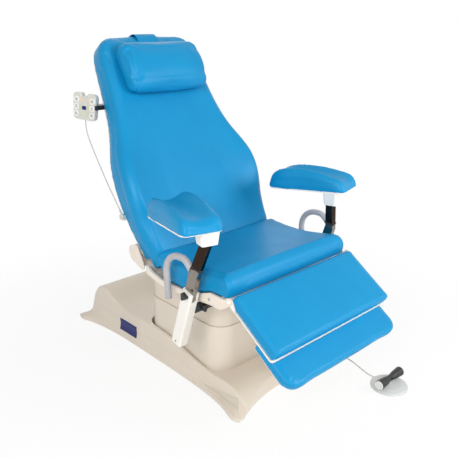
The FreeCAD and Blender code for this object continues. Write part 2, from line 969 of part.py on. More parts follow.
# Drives: each pushes a lever through a shoe, with no pinned link
BACK_DRIVE_Z = 402.0
LEG_DRIVE_Z = 449.0
SHOE_GAP = 0.8
SHOE_HEAD = 8.0


def back_lever_tip():
    """Place of the back lever's tip, 27.5 degrees behind straight down at rest."""
    angle = math.radians(27.5)
    return V(D.back_hinge_x - D.back_lever * math.sin(angle), 0, D.back_hinge_z - D.back_lever * math.cos(angle))


def leg_lever_tip():
    """Place of the leg lever's tip, 6.5 degrees behind straight down at rest."""
    angle = math.radians(6.5)
    return V(D.leg_hinge_x - D.leg_lever * math.sin(angle), 0, D.leg_hinge_z - D.leg_lever * math.cos(angle))


def drives():
    """The two linear drives under the seat and their shoes."""
    y = -D.drive_y
    housing = rod(V(165, y, BACK_DRIVE_Z), X_AXIS, 180, 15)
    motor = slab(300, 345, y - 15, y + 15, BACK_DRIVE_Z - 14, BACK_DRIVE_Z + 14)
    hanger = slab(305, 340, y - 40, y - 10, BACK_DRIVE_Z, D.rail_bottom)
    bore = rod(V(160, y, BACK_DRIVE_Z), X_AXIS, 130, 8 + D.running_fit)
    shaped("back_drive", housing.fuse([motor, hanger]).cut(bore))
    face = back_lever_tip().x + D.lever_tip + SHOE_GAP
    head = rod(V(face, y, BACK_DRIVE_Z), X_AXIS, SHOE_HEAD, 9)
    stem = rod(V(face + SHOE_HEAD, y, BACK_DRIVE_Z), X_AXIS, 225 - face - SHOE_HEAD, 8)
    shaped("back_drive_shoe", head.fuse(stem))

    y = D.drive_y
    housing = rod(V(240, y, LEG_DRIVE_Z), X_AXIS, 185, 13)
    motor = slab(240, 285, y - 13, y + 13, LEG_DRIVE_Z - 13, LEG_DRIVE_Z + 13)
    hanger = slab(245, 280, y + 10, D.rail_y - D.rail_width / 2, LEG_DRIVE_Z - 6, LEG_DRIVE_Z + 12)
    bore = rod(V(300, y, LEG_DRIVE_Z), X_AXIS, 130, 7 + D.running_fit)
    shaped("leg_drive", housing.fuse([motor, hanger]).cut(bore))
    face = leg_lever_tip().x - D.lever_tip - SHOE_GAP
    head = rod(V(face - SHOE_HEAD, y, LEG_DRIVE_Z), X_AXIS, SHOE_HEAD, 9)
    stem = rod(V(330, y, LEG_DRIVE_Z), X_AXIS, face - SHOE_HEAD - 330, 7)
    shaped("leg_drive_shoe", head.fuse(stem))


# Back rest, in its own frame: X out of the cushion's face, Z up along the back

def back_frame():
    """Torsion tube, two uprights and the drive lever."""
    bar = rod(V(0, -285, 0), Y_AXIS, 570, D.torsion_radius)
    rear = D.back_front - D.back_thick - D.board_thick
    parts = []
    for side in (-1, 1):
        y = side * D.upright_y
        half = D.upright_width / 2
        parts.append(slab(rear - D.upright_thick, rear, y - half, y + half, 0, 640))
        parts.append(slab(rear - D.upright_thick, 4, y - half, y + half, -8, 30))
    frame = bar.fuse(parts)
    frame = on_back(frame)
    tip = back_lever_tip()
    hinge = V(D.back_hinge_x, 0, D.back_hinge_z)
    along = (tip - hinge).normalize()
    across = V(along.z, 0, -along.x)
    low = V(0, -D.drive_y - D.lever_thick / 2, 0)
    width = 3.0
    corners = [hinge + across * width, tip + across * width, tip - across * width, hinge - across * width]
    plate = Part.Face(outline([corner + low for corner in corners])).extrude(V(0, D.lever_thick, 0))
    nose = rod(tip + low, Y_AXIS, D.lever_thick, D.lever_tip)
    shaped("back_frame", frame.fuse([plate, nose]))


def back_half_width(rise):
    """Half-width of the back by height: waisted below, widest at the wings, tapered to the head."""
    stations = ((-6, 298), (60, 309), (160, 325), (270, 333), (360, 330), (450, 313), (520, 288), (600, 266))
    stations += ((720, 249), (850, 233), (905, 215), (932, 181), (D.back_top, 150))
    return dict(stations)[rise]


BACK_STATIONS = (-6, 60, 160, 270, 360, 450, 520, 600, 720, 850, 905, 932)


def back_section(rise, half, rear, front, wing):
    """One level cut of the back cushion: flat rear, full sides, side wings and a hollow face."""
    side = min(30.0, 0.34 * (front - rear))

    def at(y, x):
        return V(x, y, rise)

    def line(start, end):
        return Part.LineSegment(start, end).toShape()

    def half_edges(sign):
        rear_corner = at(sign * (half - 8), rear)
        waist = at(sign * half, rear + 0.5 * (front - rear) + 0.6 * wing)
        bulge = at(sign * (half - 2), rear + 0.24 * (front - rear) + 0.3 * wing)
        shoulder = at(sign * (half - side), front + wing)
        round_over = at(sign * (half - 0.29 * side), front + wing - 0.22 * side)
        inner = at(sign * 0.45 * half, front)
        dip = at(sign * (0.45 * half + 0.55 * (half - side - 0.45 * half)), front + 0.36 * wing + 0.6)
        return (
            Part.Arc(rear_corner, bulge, waist).toShape(),
            Part.Arc(waist, round_over, shoulder).toShape(),
            Part.Arc(shoulder, dip, inner).toShape(),
            rear_corner,
            inner,
        )

    right = half_edges(1)
    left = half_edges(-1)
    crown = at(0, front + 2)
    middle = Part.Arc(right[4], crown, left[4]).toShape()
    return Part.Wire([right[0], right[1], right[2], middle, left[2], left[1], left[0], line(left[3], right[3])])


# Side profile of the apron, rear end first
APRON_PROFILE = [(72, 433), (-16, 466), (-36, 484), (-38, 522), (17, 538), (50, 482)]


def back_cushion():
    """The back cushion: lofted through its level cuts, relieved below round the hinge."""
    front = D.back_front
    rear = front - D.back_thick
    sections = []
    for rise in BACK_STATIONS:
        depth = front
        back_face = rear
        if rise <= D.back_bottom:
            depth = front - 16
        if rise > 900:
            fall = (rise - 900) / (D.back_top - 900)
            depth = front - 26 * fall**2
        wing = 28.0 * math.exp(-(((rise - 320) / 120) ** 2)) + 4.0
        sections.append(back_section(rise, back_half_width(rise), back_face, depth, wing))
    sections.append(back_section(D.back_top, back_half_width(D.back_top), rear + 8, front - 40, 2.0))
    cushion = cushion_loft(sections)
    relief = slab(rear - 5, rear + 30, -360, 360, D.back_bottom - 20, 40)
    board_plane = slab(rear - 40, rear, -360, 360, D.back_bottom - 20, D.back_top + 20)
    below = slab(rear - 5, front + 20, -360, 360, D.back_bottom - 40, D.back_bottom)
    cushion = on_back(cushion.cut([relief, board_plane, below]))
    inner = D.tray_half - 2 * D.tray_wall
    apron_walls = prism(APRON_PROFILE, D.tray_half).cut(prism(APRON_PROFILE, inner - 0.5))
    shaped("back_cushion", cushion.cut(apron_walls))


def board_outline(inset):
    """The outline of the back board, inside the cushion's."""
    levels = (44, 160, 270, 360, 450, 520, 600, 720, 850, 905)
    half = [back_half_width(60 if level == 44 else level) - inset for level in levels]
    rear = D.back_front - D.back_thick
    right = [V(rear, width, level) for width, level in zip(half, levels)]
    left = [V(rear, -point.y, point.z) for point in reversed(right)]
    radii = [30] + [120] * 8 + [60]
    return outline(right + left, radii + list(reversed(radii)))


def back_board():
    """The board behind the cushion, with a rounded rear edge."""
    rear = D.back_front - D.back_thick
    plate = Part.Face(board_outline(10)).extrude(V(-D.board_thick, 0, 0))
    rim = [edge for edge in plate.Edges if edge.BoundBox.XMax < rear - D.board_thick + 0.1]
    plate = plate.makeFillet(5, rim)
    shaped("back_board", on_back(plate))


def back_apron():
    """The moulded cover of the hinge, in line with the tray at rest."""
    wall = D.tray_wall
    inner_profile = [(90, 433), (-14, 471), (-31.5, 487), (-33.5, 560), (60, 560), (90, 482)]
    outer = prism(APRON_PROFILE, D.tray_half - wall, [14, 30, 24, 20, 8, 20])
    inner = prism(inner_profile, D.tray_half - 2 * wall, [0, 26, 20, 0, 0, 0])
    apron = outer.cut(inner)
    hinge_room = rod(V(D.back_hinge_x, -(D.tray_half - 2 * wall), D.back_hinge_z), Y_AXIS,
                     2 * (D.tray_half - 2 * wall), D.ear_radius + 5)
    apron = apron.cut(hinge_room)
    shaped("back_apron", apron)


def pillow_strap():
    """The flat strap behind the pillow, over the top of the back and down its rear."""
    front = D.back_front + 7.5
    top = D.back_top + 7
    rear = D.back_front - D.back_thick - D.board_thick - 0.5
    thick = D.strap_thick
    path = [
        (front, 700),
        (front, 914),
        (D.back_front - 19, top),
        (rear + 10, top),
        (rear - thick, 914),
        (rear - thick, 770),
    ]
    rounds = [0, 40, 26, 10, 20, 0]
    outer = outline([V(x, -D.strap_half, z) for x, z in path], rounds, closed=False)
    inner = outer.makeOffset2D(-thick, openResult=True)
    if inner.BoundBox.ZMax > outer.BoundBox.ZMax:
        inner = outer.makeOffset2D(thick, openResult=True)
    ends = [
        Part.LineSegment(outer.OrderedVertexes[0].Point, inner.OrderedVertexes[0].Point).toShape(),
        Part.LineSegment(outer.OrderedVertexes[-1].Point, inner.OrderedVertexes[-1].Point).toShape(),
    ]
    loop = Part.Wire(Part.__sortEdges__(outer.Edges + inner.Edges + ends))
    strap = Part.Face(loop).extrude(V(0, 2 * D.strap_half, 0))
    return strap


def pillow_section(y, share):
    """One cut of the head pillow: flat against the back, full in front."""
    middle = (D.pillow_low + D.pillow_high) / 2
    height = (D.pillow_high - D.pillow_low) / 2 * (0.55 + 0.45 * share)
    rear = D.back_front + 9
    front = rear + D.pillow_thick * (0.5 + 0.5 * share)
    waist = rear + 0.42 * (front - rear)
    low_rear = V(rear, y, middle - 0.72 * height)
    high_rear = V(rear, y, middle + 0.72 * height)
    low_edge = V(waist, y, middle - height)
    high_edge = V(waist, y, middle + height)

    def bend(start, end, out):
        return Part.Arc(start, (start + end) * 0.5 + out, end).toShape()

    low_front = V(rear + 0.86 * (front - rear), y, middle - 0.6 * height)
    high_front = V(rear + 0.86 * (front - rear), y, middle + 0.6 * height)
    return Part.Wire([
        Part.LineSegment(low_rear, high_rear).toShape(),
        bend(high_rear, high_edge, V(-5, 0, 6) * share),
        bend(high_edge, high_front, V(9, 0, 9) * (0.6 + 0.4 * share)),
        bend(high_front, low_front, V(0.14 * (front - rear), 0, 0)),
        bend(low_front, low_edge, V(9, 0, -9) * (0.6 + 0.4 * share)),
        bend(low_edge, low_rear, V(-5, 0, -6) * share),
    ])


def pillow():
    """The head pillow, full in the middle and drawn in at its ends."""
    half = D.pillow_half
    end = [(1, 0.4), (0.975, 0.7), (0.91, 0.87), (0.78, 0.95), (0.5, 0.99)]
    stations = [(-place_, share) for place_, share in end] + [(0, 1)] + list(reversed(end))
    cushion = cushion_loft([pillow_section(half * place_, share) for place_, share in stations])
    shaped("pillow", on_back(cushion))


# Handset on the back's right side
def handset_frame():
    """Placement of the handset: X to its right, Y up, Z out of its face."""
    turn = FreeCAD.Rotation(Z_AXIS, D.handset_turn)
    stand = FreeCAD.Rotation(X_AXIS, 90)
    roll = FreeCAD.Rotation(Z_AXIS, -D.handset_roll)
    return FreeCAD.Placement(V(D.handset_x, D.handset_y, D.handset_z), turn * stand * roll)


KEY_PLACES = [(column_, row_) for column_ in (-1, 1) for row_ in (1, 0, -1)]


def handset_case():
    """The case: rounded square with a notch in its top edge and six key wells."""
    body = doc.addObject("PartDesign::Body", "handset_case")
    face = sketch_on(body, "XY_Plane")
    half = "handset_size / 2"
    notch = "notch_width / 2"
    polygon(face, [
        (f"-{half} + 3", f"-{half}"), (f"{half} - 3", f"-{half}"), (half, half), (notch, half),
        (f"{notch} - 5", f"{half} - notch_depth"), (f"-{notch} + 5", f"{half} - notch_depth"), (f"-{notch}", half),
        (f"-{half}", half),
    ])
    pad(body, face, "handset_thick", symmetric=True)
    size = D.handset_size / 2

    def outer_corner(edge):
        return upright(edge) and abs(edge.Vertexes[0].Point.x) > 0.7 * size

    fillet(body, "handset_round", outer_corner)

    def rim(edge):
        return edge.BoundBox.ZLength < 0.01 and abs(edge.CenterOfMass.z) > 0.4 * D.handset_thick

    fillet(body, "3", rim)
    wells = sketch_on(body, "XY_Plane", "handset_thick / 2")
    for column_, row_ in KEY_PLACES:
        circle(wells, f"{column_} * key_column", key_height_formula(row_), "key_radius + key_gap")
    pocket(body, wells, "key_well")
    body.Placement = handset_frame()
    return keep(body, "handset_case")


def key_height_formula(row_):
    """Height of a row of keys in the handset's own frame."""
    return f"{row_} * key_pitch - 2"


def handset_keys():
    """Six round keys, each in its well with room to travel."""
    for index, (column_, row_) in enumerate(KEY_PLACES, 1):
        body = doc.addObject("PartDesign::Body", f"handset_key_{index}")
        face = sketch_on(body, "XY_Plane", "handset_thick / 2 - key_well + 1.5")
        circle(face, f"{column_} * key_column", key_height_formula(row_), "key_radius")
        pad(body, face, "key_height")
        doc.recompute()
        top = body.Shape.BoundBox.ZMax

        def crown(edge):
            return edge.BoundBox.ZMin > top - 0.1

        fillet(body, "1", crown)
        body.Placement = handset_frame()
        keep(body, f"handset_key_{index}")


# Cord of the handset, from the case's lower edge to the sleeve on the back board's edge
HANDSET_ROUTE = [
    V(-323.6, -302.7, 978),
    V(-325.5, -303.5, 957),
    V(-315, -304.5, 917),
    V(-275, -308.5, 868),
    V(-230, -313.5, 819),
    V(-186, -318.5, 774),
    V(-139, -324, 729),
    V(-95, -329, 690),
    V(-65.5, -332.5, 665),
]
SLEEVE_END = V(-44, -334, 640)


def handset_cord():
    """The free stretch of the handset's cord."""
    shaped("handset_cord", tube(cord_path(HANDSET_ROUTE), D.cord_radius))


def cord_clip(cushion, board):
    """The sleeve that takes the cord in, with its foot on the back board's edge."""
    start = HANDSET_ROUTE[-1]
    along = SLEEVE_END - start
    sleeve = Part.makeCone(D.cord_radius + 1.5, 6, along.Length, start, along)
    foot = slab(-62, -36, -338, -300, 628, 646)
    shape = sleeve.fuse(foot).cut([cushion, board])
    shaped("cord_clip", max(shape.Solids, key=lambda solid: solid.Volume))


def handset_hook(case, cushion, board):
    """The black hook between the back board's edge and the handset."""
    arm = slab(-312, -266, -290, -225, 1018, 1036)
    behind = slab(-330, -296, -330, -292, 1000, 1050)
    shape = arm.cut([case, cushion, board, behind])
    shaped("handset_hook", max(shape.Solids, key=lambda solid: solid.Volume))


# Leg rest and foot panel, in the leg's own frame: X along the leg, Z out of its face

def leg_board():
    """The steel leg board: hinge ears, lever lug and the guide of the foot panel's tongue."""
    under = D.leg_under
    low = under - D.leg_board_thick
    half = D.leg_board_half
    plate = slab(8, D.leg_board_end, -half, half, low, under)
    corners = [e for e in plate.Edges if e.BoundBox.ZLength > 1 and e.CenterOfMass.x > D.leg_board_end - 1]
    board = plate.makeFillet(14, corners)
    for side in (-1, 1):
        inner = D.leg_half + 0.5
        profile = [(-9, -8), (12, low + 0.5), (40, low + 0.5), (34, -6), (9, 10), (-9, 10)]
        ear = prism(profile, (D.leg_ear_half - inner) / 2, [9, 0, 0, 8, 8, 8])
        ear.translate(V(0, side * (D.leg_ear_half + inner) / 2, 0))
        board = board.fuse(ear)
        pin_hole = rod(V(0, side * half - 10, 0), Y_AXIS, 20, D.leg_pin_radius + D.running_fit)
        board = board.cut(pin_hole)
    guide = slab(D.guide_rear, D.guide_front, -D.tongue_half - 10, D.tongue_half + 10, -72, low)
    gap = slab(0, 200, -D.tongue_half + 10, D.tongue_half - 10, D.foot_under + 0.6, low)
    slot = slab(0, 200, -D.tongue_half - 0.5, D.tongue_half + 0.5, D.foot_under - D.foot_plate - 0.6, D.foot_under + 0.6)
    board = board.fuse(guide.cut(gap).cut(slot))
    placed = on_leg(board)
    tip = leg_lever_tip()
    y = D.drive_y - D.lever_thick / 2
    nose = rod(V(tip.x, y, tip.z), Y_AXIS, D.lever_thick, D.lever_tip)
    into_leg = FreeCAD.Placement(V(D.leg_hinge_x, 0, D.leg_hinge_z), FreeCAD.Rotation(Y_AXIS, D.leg_angle)).inverse()
    local = into_leg.multVec(tip)
    lug = prism([(14, low), (56, low), (local.x + 6, local.z - 3), (local.x - 4, local.z - 3)], D.lever_thick / 2)
    lug.translate(V(0, D.drive_y, 0))
    shaped("leg_board", placed.fuse([on_leg(lug), nose]))


def panel_section(y, x0, x1, low, high, draw, crown):
    """One lengthwise cut of a flat panel cushion with rounded front and rear edges."""
    top = high - draw
    edge = min(12.0, 0.3 * (high - low))
    rear = x0 + 0.5 * draw
    front = x1 - 0.5 * draw

    def at(x, z):
        return V(x, y, z)

    return Part.Wire([
        Part.LineSegment(at(rear + 3, low), at(front - 3, low)).toShape(),
        Part.Arc(at(front - 3, low), at(front - 0.5, low + 0.3 * (top - low)), at(front, top - edge)).toShape(),
        Part.Arc(at(front, top - edge), at(front - 0.3 * edge, top - 0.3 * edge), at(front - edge, top)).toShape(),
        Part.Arc(at(front - edge, top), at((front + rear) / 2, top + crown), at(rear + edge, top)).toShape(),
        Part.Arc(at(rear + edge, top), at(rear + 0.3 * edge, top - 0.3 * edge), at(rear, top - edge)).toShape(),
        Part.Arc(at(rear, top - edge), at(rear + 0.5, low + 0.3 * (top - low)), at(rear + 3, low)).toShape(),
    ])


def panel_cushion(half, x0, x1, low, high, crown, corner=0.0):
    """A flat panel cushion, crowned on top and drawn in at its sides."""
    side = [(half, 10, 0.3), (half - 5, 4, 0.5), (half - 16, 1, 0.7), (half - 40, 0.2, 0.8)]
    side += [(half - 88, 0, 0.9), (half - 178, 0, 1.0)]
    stations = [(-y, draw, share) for y, draw, share in side] + [(0, 0, 1.0)] + list(reversed(side))
    sections = []
    for y, draw, share in stations:
        shorten = corner * max(0.0, (abs(y) - half + 40) / 40) ** 2
        sections.append(panel_section(y, x0, x1 - shorten, low, high - crown, draw, max(0.2, crown * share)))
    return cushion_loft(sections)


def leg_cushion():
    """The leg cushion on its board."""
    shaped("leg_cushion", on_leg(panel_cushion(D.leg_half, -2, D.leg_end, D.leg_under, D.leg_top, 2.0)))


def foot_panel():
    """The foot panel: tongued plate and cushion."""
    low = D.foot_under - D.foot_plate
    plate = Part.Face(outline(
        [V(D.tongue_rear, -D.tongue_half, low), V(D.foot_rear, -D.tongue_half, low),
         V(D.foot_rear, -D.foot_half + 8, low), V(D.foot_front - 6, -D.foot_half + 8, low),
         V(D.foot_front - 6, D.foot_half - 8, low), V(D.foot_rear, D.foot_half - 8, low),
         V(D.foot_rear, D.tongue_half, low), V(D.tongue_rear, D.tongue_half, low)],
        [6, 0, 6, 40, 40, 6, 0, 6],
    )).extrude(V(0, 0, D.foot_plate))
    shaped("foot_board", on_leg(plate))
    cushion = panel_cushion(D.foot_half, D.foot_rear, D.foot_front, D.foot_under, D.foot_top, 1.0, corner=34)
    shaped("foot_cushion", on_leg(cushion))


def leg_hinge_pins():
    """The two pins of the leg hinge, pressed into the tray's cheeks."""
    pins = []
    for side in ("-1", "1"):
        middle = f"{side} * (tray_half - (tray_half - leg_half) / 2)"
        pins.append(cylinder(
            "leg_hinge_x", f"{middle} - (tray_half - leg_half - 0.5) / 2", "leg_hinge_z", Y_AXIS,
            "tray_half - leg_half - 0.5", "leg_pin_radius",
        ))
    group = doc.addObject("Part::Compound", "pins")
    group.Links = pins
    keep(group, "leg_hinge_pins")


# Arm rests: the left one is modelled and mirrored for the right

def post_direction():
    """Direction of the arm post, leaning forward."""
    lean = math.radians(D.post_lean)
    return V(math.sin(lean), 0, math.cos(lean))


def along_post(distance):
    """A point on the left post's middle line."""
    return V(D.post_x, D.post_y, D.post_z) + post_direction() * distance


def arm_post(side, label):
    """The white post: rounded box section, blind bore for the bar, open front at the top, knob hole."""
    body = doc.addObject("PartDesign::Body", label)
    section = sketch_on(body, "XY_Plane")
    rectangle(section, "-post_depth / 2", "post_depth / 2", "-post_width / 2", "post_width / 2")
    pad(body, section, "post_length")
    fillet(body, "post_round", upright)
    bore = sketch_on(body, "XY_Plane", "post_length")
    rectangle(
        bore, "-bar_depth / 2 - bar_play", "bar_depth / 2 + bar_play",
        "-bar_width / 2 - bar_play", "bar_width / 2 + bar_play",
    )
    pocket(body, bore, "post_length - 30")
    window = sketch_on(body, "YZ_Plane", "post_depth / 2")
    rectangle(
        window, "-bar_width / 2 - bar_play", "bar_width / 2 + bar_play", "post_length - 34", "post_length + 5",
    )
    pocket(body, window, "post_depth / 4")
    hole = sketch_on(body, "XZ_Plane")
    circle(hole, "0", "post_knob_along", "knob_stud + running_fit")
    pocket(body, hole, "post_width", back=side < 0)
    turn = FreeCAD.Rotation(Y_AXIS, D.post_lean)
    body.Placement = FreeCAD.Placement(V(D.post_x, side * D.post_y, D.post_z), turn)
    return keep(body, label)


def bar_ring(centre, along, across, width):
    """A rectangle of the bar's depth and a width about a centre."""
    a = along * (D.bar_depth / 2)
    b = across * (width / 2)
    return outline([centre - a - b, centre + a - b, centre + a + b, centre - a + b])


def bar_run(width):
    """The bent run of the bar: straight in the post, kinked forward and inward above it."""
    direction = post_direction()
    fore = V(direction.z, 0, -direction.x)
    low = bar_ring(along_post(D.bar_bottom), fore, Y_AXIS, width)
    kink = bar_ring(along_post(D.bar_kink), fore, Y_AXIS, width)
    twist = math.radians(D.bar_twist)
    top_fore = V(math.cos(twist), -math.sin(twist), 0)
    top_side = V(math.sin(twist), math.cos(twist), 0)
    head = V(D.bar_top_x, D.bar_top_y, D.bar_top_z)
    top = bar_ring(head, top_fore, top_side, width)
    return Part.makeLoft([low, kink, top], True, True)


def arm_bar_shape():
    """The bent bar with the stud on its top."""
    head = V(D.bar_top_x, D.bar_top_y, D.bar_top_z)
    return bar_run(D.bar_width).fuse(rod(head, Z_AXIS, D.stud_length, D.stud_radius))


def arm_handle_shape():
    """The bent grab handle, which butts against the bar's rear face at the kink."""
    y = D.handle_y
    points = [V(272, y, 421), V(259, y, 594), V(372, y, 598), V(414, y, 558)]
    path = outline(points, [0, 76, 44, 0], closed=False)
    handle = tube(path, D.handle_radius)
    return handle.cut(bar_run(3 * D.bar_width))


def arm_crossbar():
    """The bar under the tray that carries both posts, with risers to the rails and knob holes."""
    front = "crossbar_rear + crossbar_depth"
    top = "crossbar_bottom + crossbar_height"
    reach = "post_y - post_width / 2"
    parts = [block("crossbar_rear", front, f"-({reach})", reach, "crossbar_bottom", top)]
    holes = []
    for side in ("-", ""):
        parts.append(block(
            "crossbar_rear + 1", f"{front} - 1", f"({side}rail_y) - 15", f"({side}rail_y) + 15", top, "rail_bottom",
        ))
        holes.append(cylinder(
            "crossbar_rear + 4", f"{side}bracket_knob_y", "crossbar_bottom + crossbar_height / 2", X_AXIS,
            "crossbar_depth", "knob_stud + running_fit",
        ))
    keep(cut(fuse(*parts), fuse(*holes)), "arm_crossbar")


def knob(label, foot, direction, stud):
    """A three-lobed clamp knob: round core, lobes in a polar pattern, and its stud."""
    body = doc.addObject("PartDesign::Body", label)
    core = sketch_on(body, "XY_Plane", "knob_gap")
    circle(core, "0", "0", "knob_radius")
    pad(body, core, "knob_height")
    lobe = sketch_on(body, "XY_Plane", "knob_gap")
    circle(lobe, "knob_lobe_offset", "0", "knob_lobe")
    lobe_pad = pad(body, lobe, "knob_height")
    doc.recompute()
    pattern = body.newObject("PartDesign::PolarPattern", "lobes")
    pattern.Originals = [lobe_pad]
    pattern.Axis = (lobe, ["N_Axis"])
    pattern.Angle = 360
    pattern.Occurrences = 3
    body.Tip = pattern
    doc.recompute()
    stem = sketch_on(body, "XY_Plane", "knob_gap")
    circle(stem, "0", "0", "knob_stud")
    pad(body, stem, stud, back=True)
    body.Placement = FreeCAD.Placement(foot, FreeCAD.Rotation(Z_AXIS, direction))
    return keep(body, label)


def knobs():
    """Clamp knobs of the bars and of the posts' bracket."""
    along = along_post(D.post_knob_along)
    front = D.crossbar_rear + D.crossbar_depth
    middle = D.crossbar_bottom + D.crossbar_height / 2
    for side, name in ((1, "left"), (-1, "right")):
        outer = V(along.x, side * (D.post_y + D.post_width / 2), along.z)
        knob(f"post_knob_{name}", outer, V(0, side, 0), "post_width / 2 - bar_width / 2")
        knob(f"bracket_knob_{name}", V(front, side * D.bracket_knob_y, middle), X_AXIS, "crossbar_depth - 5")


def pad_frame():
    """Placement of the left pad: X forward along it, Y outward, on the swivel's axis."""
    turn = FreeCAD.Rotation(Z_AXIS, D.pad_swivel) * FreeCAD.Rotation(Y_AXIS, -D.pad_pitch)
    return FreeCAD.Placement(V(D.bar_top_x, D.bar_top_y, D.bar_top_z + D.block_height), turn)


def arm_block_shape():
    """The swivel block under the pad, widening upwards, bored for the bar's stud."""
    swivel = FreeCAD.Rotation(Z_AXIS, D.pad_swivel)
    gap = 0.5
    foot = V(D.bar_top_x, D.bar_top_y, D.bar_top_z + gap)

    def ring(placement, length, width, shift):
        corners = [(-length, -width), (length, -width), (length, width), (-length, width)]
        points = [placement.multVec(V(x + shift, y, 0)) for x, y in corners]
        return outline(points, 8)

    low = ring(FreeCAD.Placement(foot, swivel), 25, 30, D.block_shift)
    high = ring(pad_frame(), 29, 37, D.block_shift)
    shape = Part.makeLoft([low, high], True, True)
    head = V(D.bar_top_x, D.bar_top_y, D.bar_top_z)
    return shape.cut(rod(head, Z_AXIS, D.stud_length + gap, D.stud_radius + D.running_fit))


def pad_plan(grow):
    """The pad's plan outline in its own frame."""
    front = D.pad_front + grow
    rear = D.pad_front - D.pad_length - grow
    half = D.pad_half + grow
    middle = D.pad_offset
    corners = [V(rear, middle - half, 0), V(front, middle - half, 0), V(front, middle + half, 0), V(rear, middle + half, 0)]
    return outline(corners, [40, 26, 26, 40])


def arm_plate_shape():
    """The thin white plate under the pad."""
    plate = Part.Face(pad_plan(0)).extrude(V(0, 0, D.pad_plate))
    plate.Placement = pad_frame()
    return plate


def pad_section(x, half, rim, channel, inner_rise):
    """One cross cut of the arm pad: flat under, full sides, two rims and the hollow between them."""
    middle = D.pad_offset
    low = D.pad_plate

    def at(y, z):
        return V(x, middle + y, low + z)

    def bend(start, through, end):
        return Part.Arc(start, through, end).toShape()

    out_rim = at(0.72 * half, rim)
    in_rim = at(-0.72 * half, rim + inner_rise)
    return Part.Wire([
        Part.LineSegment(at(-half + 4, 0), at(half - 4, 0)).toShape(),
        bend(at(half - 4, 0), at(half, 0.24 * rim), at(half - 1, 0.5 * rim)),
        bend(at(half - 1, 0.5 * rim), at(half - 0.09 * half, 0.86 * rim), out_rim),
        bend(out_rim, at(0, channel), in_rim),
        bend(in_rim, at(-half + 0.09 * half, 0.86 * rim + 0.6 * inner_rise), at(-half + 1, 0.5 * rim)),
        bend(at(-half + 1, 0.5 * rim), at(-half, 0.24 * rim), at(-half + 4, 0)),
    ])


def arm_pad_shape():
    """The arm pad: lofted along its length, hollow along the middle, higher behind the front."""
    front = D.pad_front
    rear = front - D.pad_length
    half = D.pad_half
    sections = [
        pad_section(rear, 0.62 * half, 26, 22, 0),
        pad_section(rear + 8, 0.8 * half, 45, 37, 2),
        pad_section(rear + 40, 0.98 * half, 65, 49, 6),
        pad_section(rear + 140, half, 75, 50, 10),
        pad_section(front - 125, half, 70, 46, 8),
        pad_section(front - 45, half, 54, 38, 1),
        pad_section(front - 8, 0.93 * half, 38, 29, 0),
        pad_section(front, 0.84 * half, 26, 21, 0),
    ]
    shape = cushion_loft(sections)
    shape.Placement = pad_frame()
    return shape


def arm_rests():
    """Bars, handles, blocks, plates and pads of both arms."""
    pieces = {
        "arm_bar": arm_bar_shape(),
        "arm_handle": arm_handle_shape(),
        "arm_block": arm_block_shape(),
        "arm_plate": arm_plate_shape(),
        "arm_pad": arm_pad_shape(),
    }
    for name, shape in pieces.items():
        shaped(f"{name}_left", shape)
        shaped(f"{name}_right", mirrored(shape))
    arm_post(1, "arm_post_left")
    arm_post(-1, "arm_post_right")
    knobs()
    arm_crossbar()


# Foot switch

def foot_switch():
    """Low domed base with a saddle and axle, and the hourglass roller that rocks on it."""
    body = doc.addObject("PartDesign::Body", "switch_dome")
    profile = sketch_on(body, "XZ_Plane")
    polygon(profile, [
        ("0", "0"), ("switch_radius", "0"), ("switch_radius", "4"), ("switch_radius - 6", "8"),
        ("switch_radius - 26", "switch_height - 1"), ("0", "switch_height"),
    ])
    revolve(body, profile, "V_Axis")
    place(body, "switch_x", "switch_y", "0")
    saddle = block(
        "switch_x - 5", "switch_x + 5", "switch_y - 4", "switch_y + 4", "switch_height / 2", "roller_z",
    )
    axle = cylinder("switch_x", "switch_y - roller_half + 12", "roller_z", Y_AXIS, "2 * roller_half - 24", "axle_radius")
    keep(fuse(body, saddle, axle), "foot_switch_base")

    roller = doc.addObject("PartDesign::Body", "foot_switch_roller")
    half_cut = roller.newObject("Sketcher::SketchObject", "sketch")
    plane = [feature for feature in roller.Origin.OriginFeatures if feature.Role == "XY_Plane"][0]
    half_cut.AttachmentSupport = [(plane, "")]
    half_cut.MapMode = "FlatFace"
    polygon(half_cut, [
        ("axle_radius + running_fit", "-roller_half"), ("roller_end - 3", "-roller_half"),
        ("roller_end", "-roller_half + 4"), ("roller_waist + 4", "-roller_half / 2.4"), ("roller_waist", "-8"),
        ("roller_waist", "8"), ("roller_waist + 4", "roller_half / 2.4"), ("roller_end", "roller_half - 4"),
        ("roller_end - 3", "roller_half"), ("axle_radius + running_fit", "roller_half"),
    ])
    revolve(roller, half_cut, "V_Axis")
    slot = sketch_on(roller, "XY_Plane", "6")
    rectangle(slot, "-20", "20", "-6", "6")
    pocket(roller, slot, "40")
    place(roller, "switch_x", "switch_y", "roller_z")
    keep(roller, "foot_switch_roller")


def main():
    """Build every sub-part."""
    base_cover()
    mains_inlet()
    cord_gland()
    base_chassis()
    levelling_feet()
    column()
    shroud_lower()
    control_box()
    shroud_upper()
    seat_tray()
    seat_cushion()
    seat_frame()
    lift_head()
    drives()
    back_frame()
    back_cushion()
    back_board()
    back_apron()
    shaped("pillow_strap", on_back(pillow_strap()))
    pillow()
    case = handset_case()
    handset_keys()
    handset_cord()
    doc.recompute()
    cushion = doc.getObject("back_cushion").Shape
    board = doc.getObject("back_board").Shape
    cord_clip(cushion, board)
    handset_hook(case.Shape, cushion, board)
    leg_board()
    leg_cushion()
    foot_panel()
    leg_hinge_pins()
    arm_rests()
    foot_switch()
    shaped("foot_switch_cord", tube(cord_path(LEAD_ROUTE), D.lead_radius))
    doc.recompute()


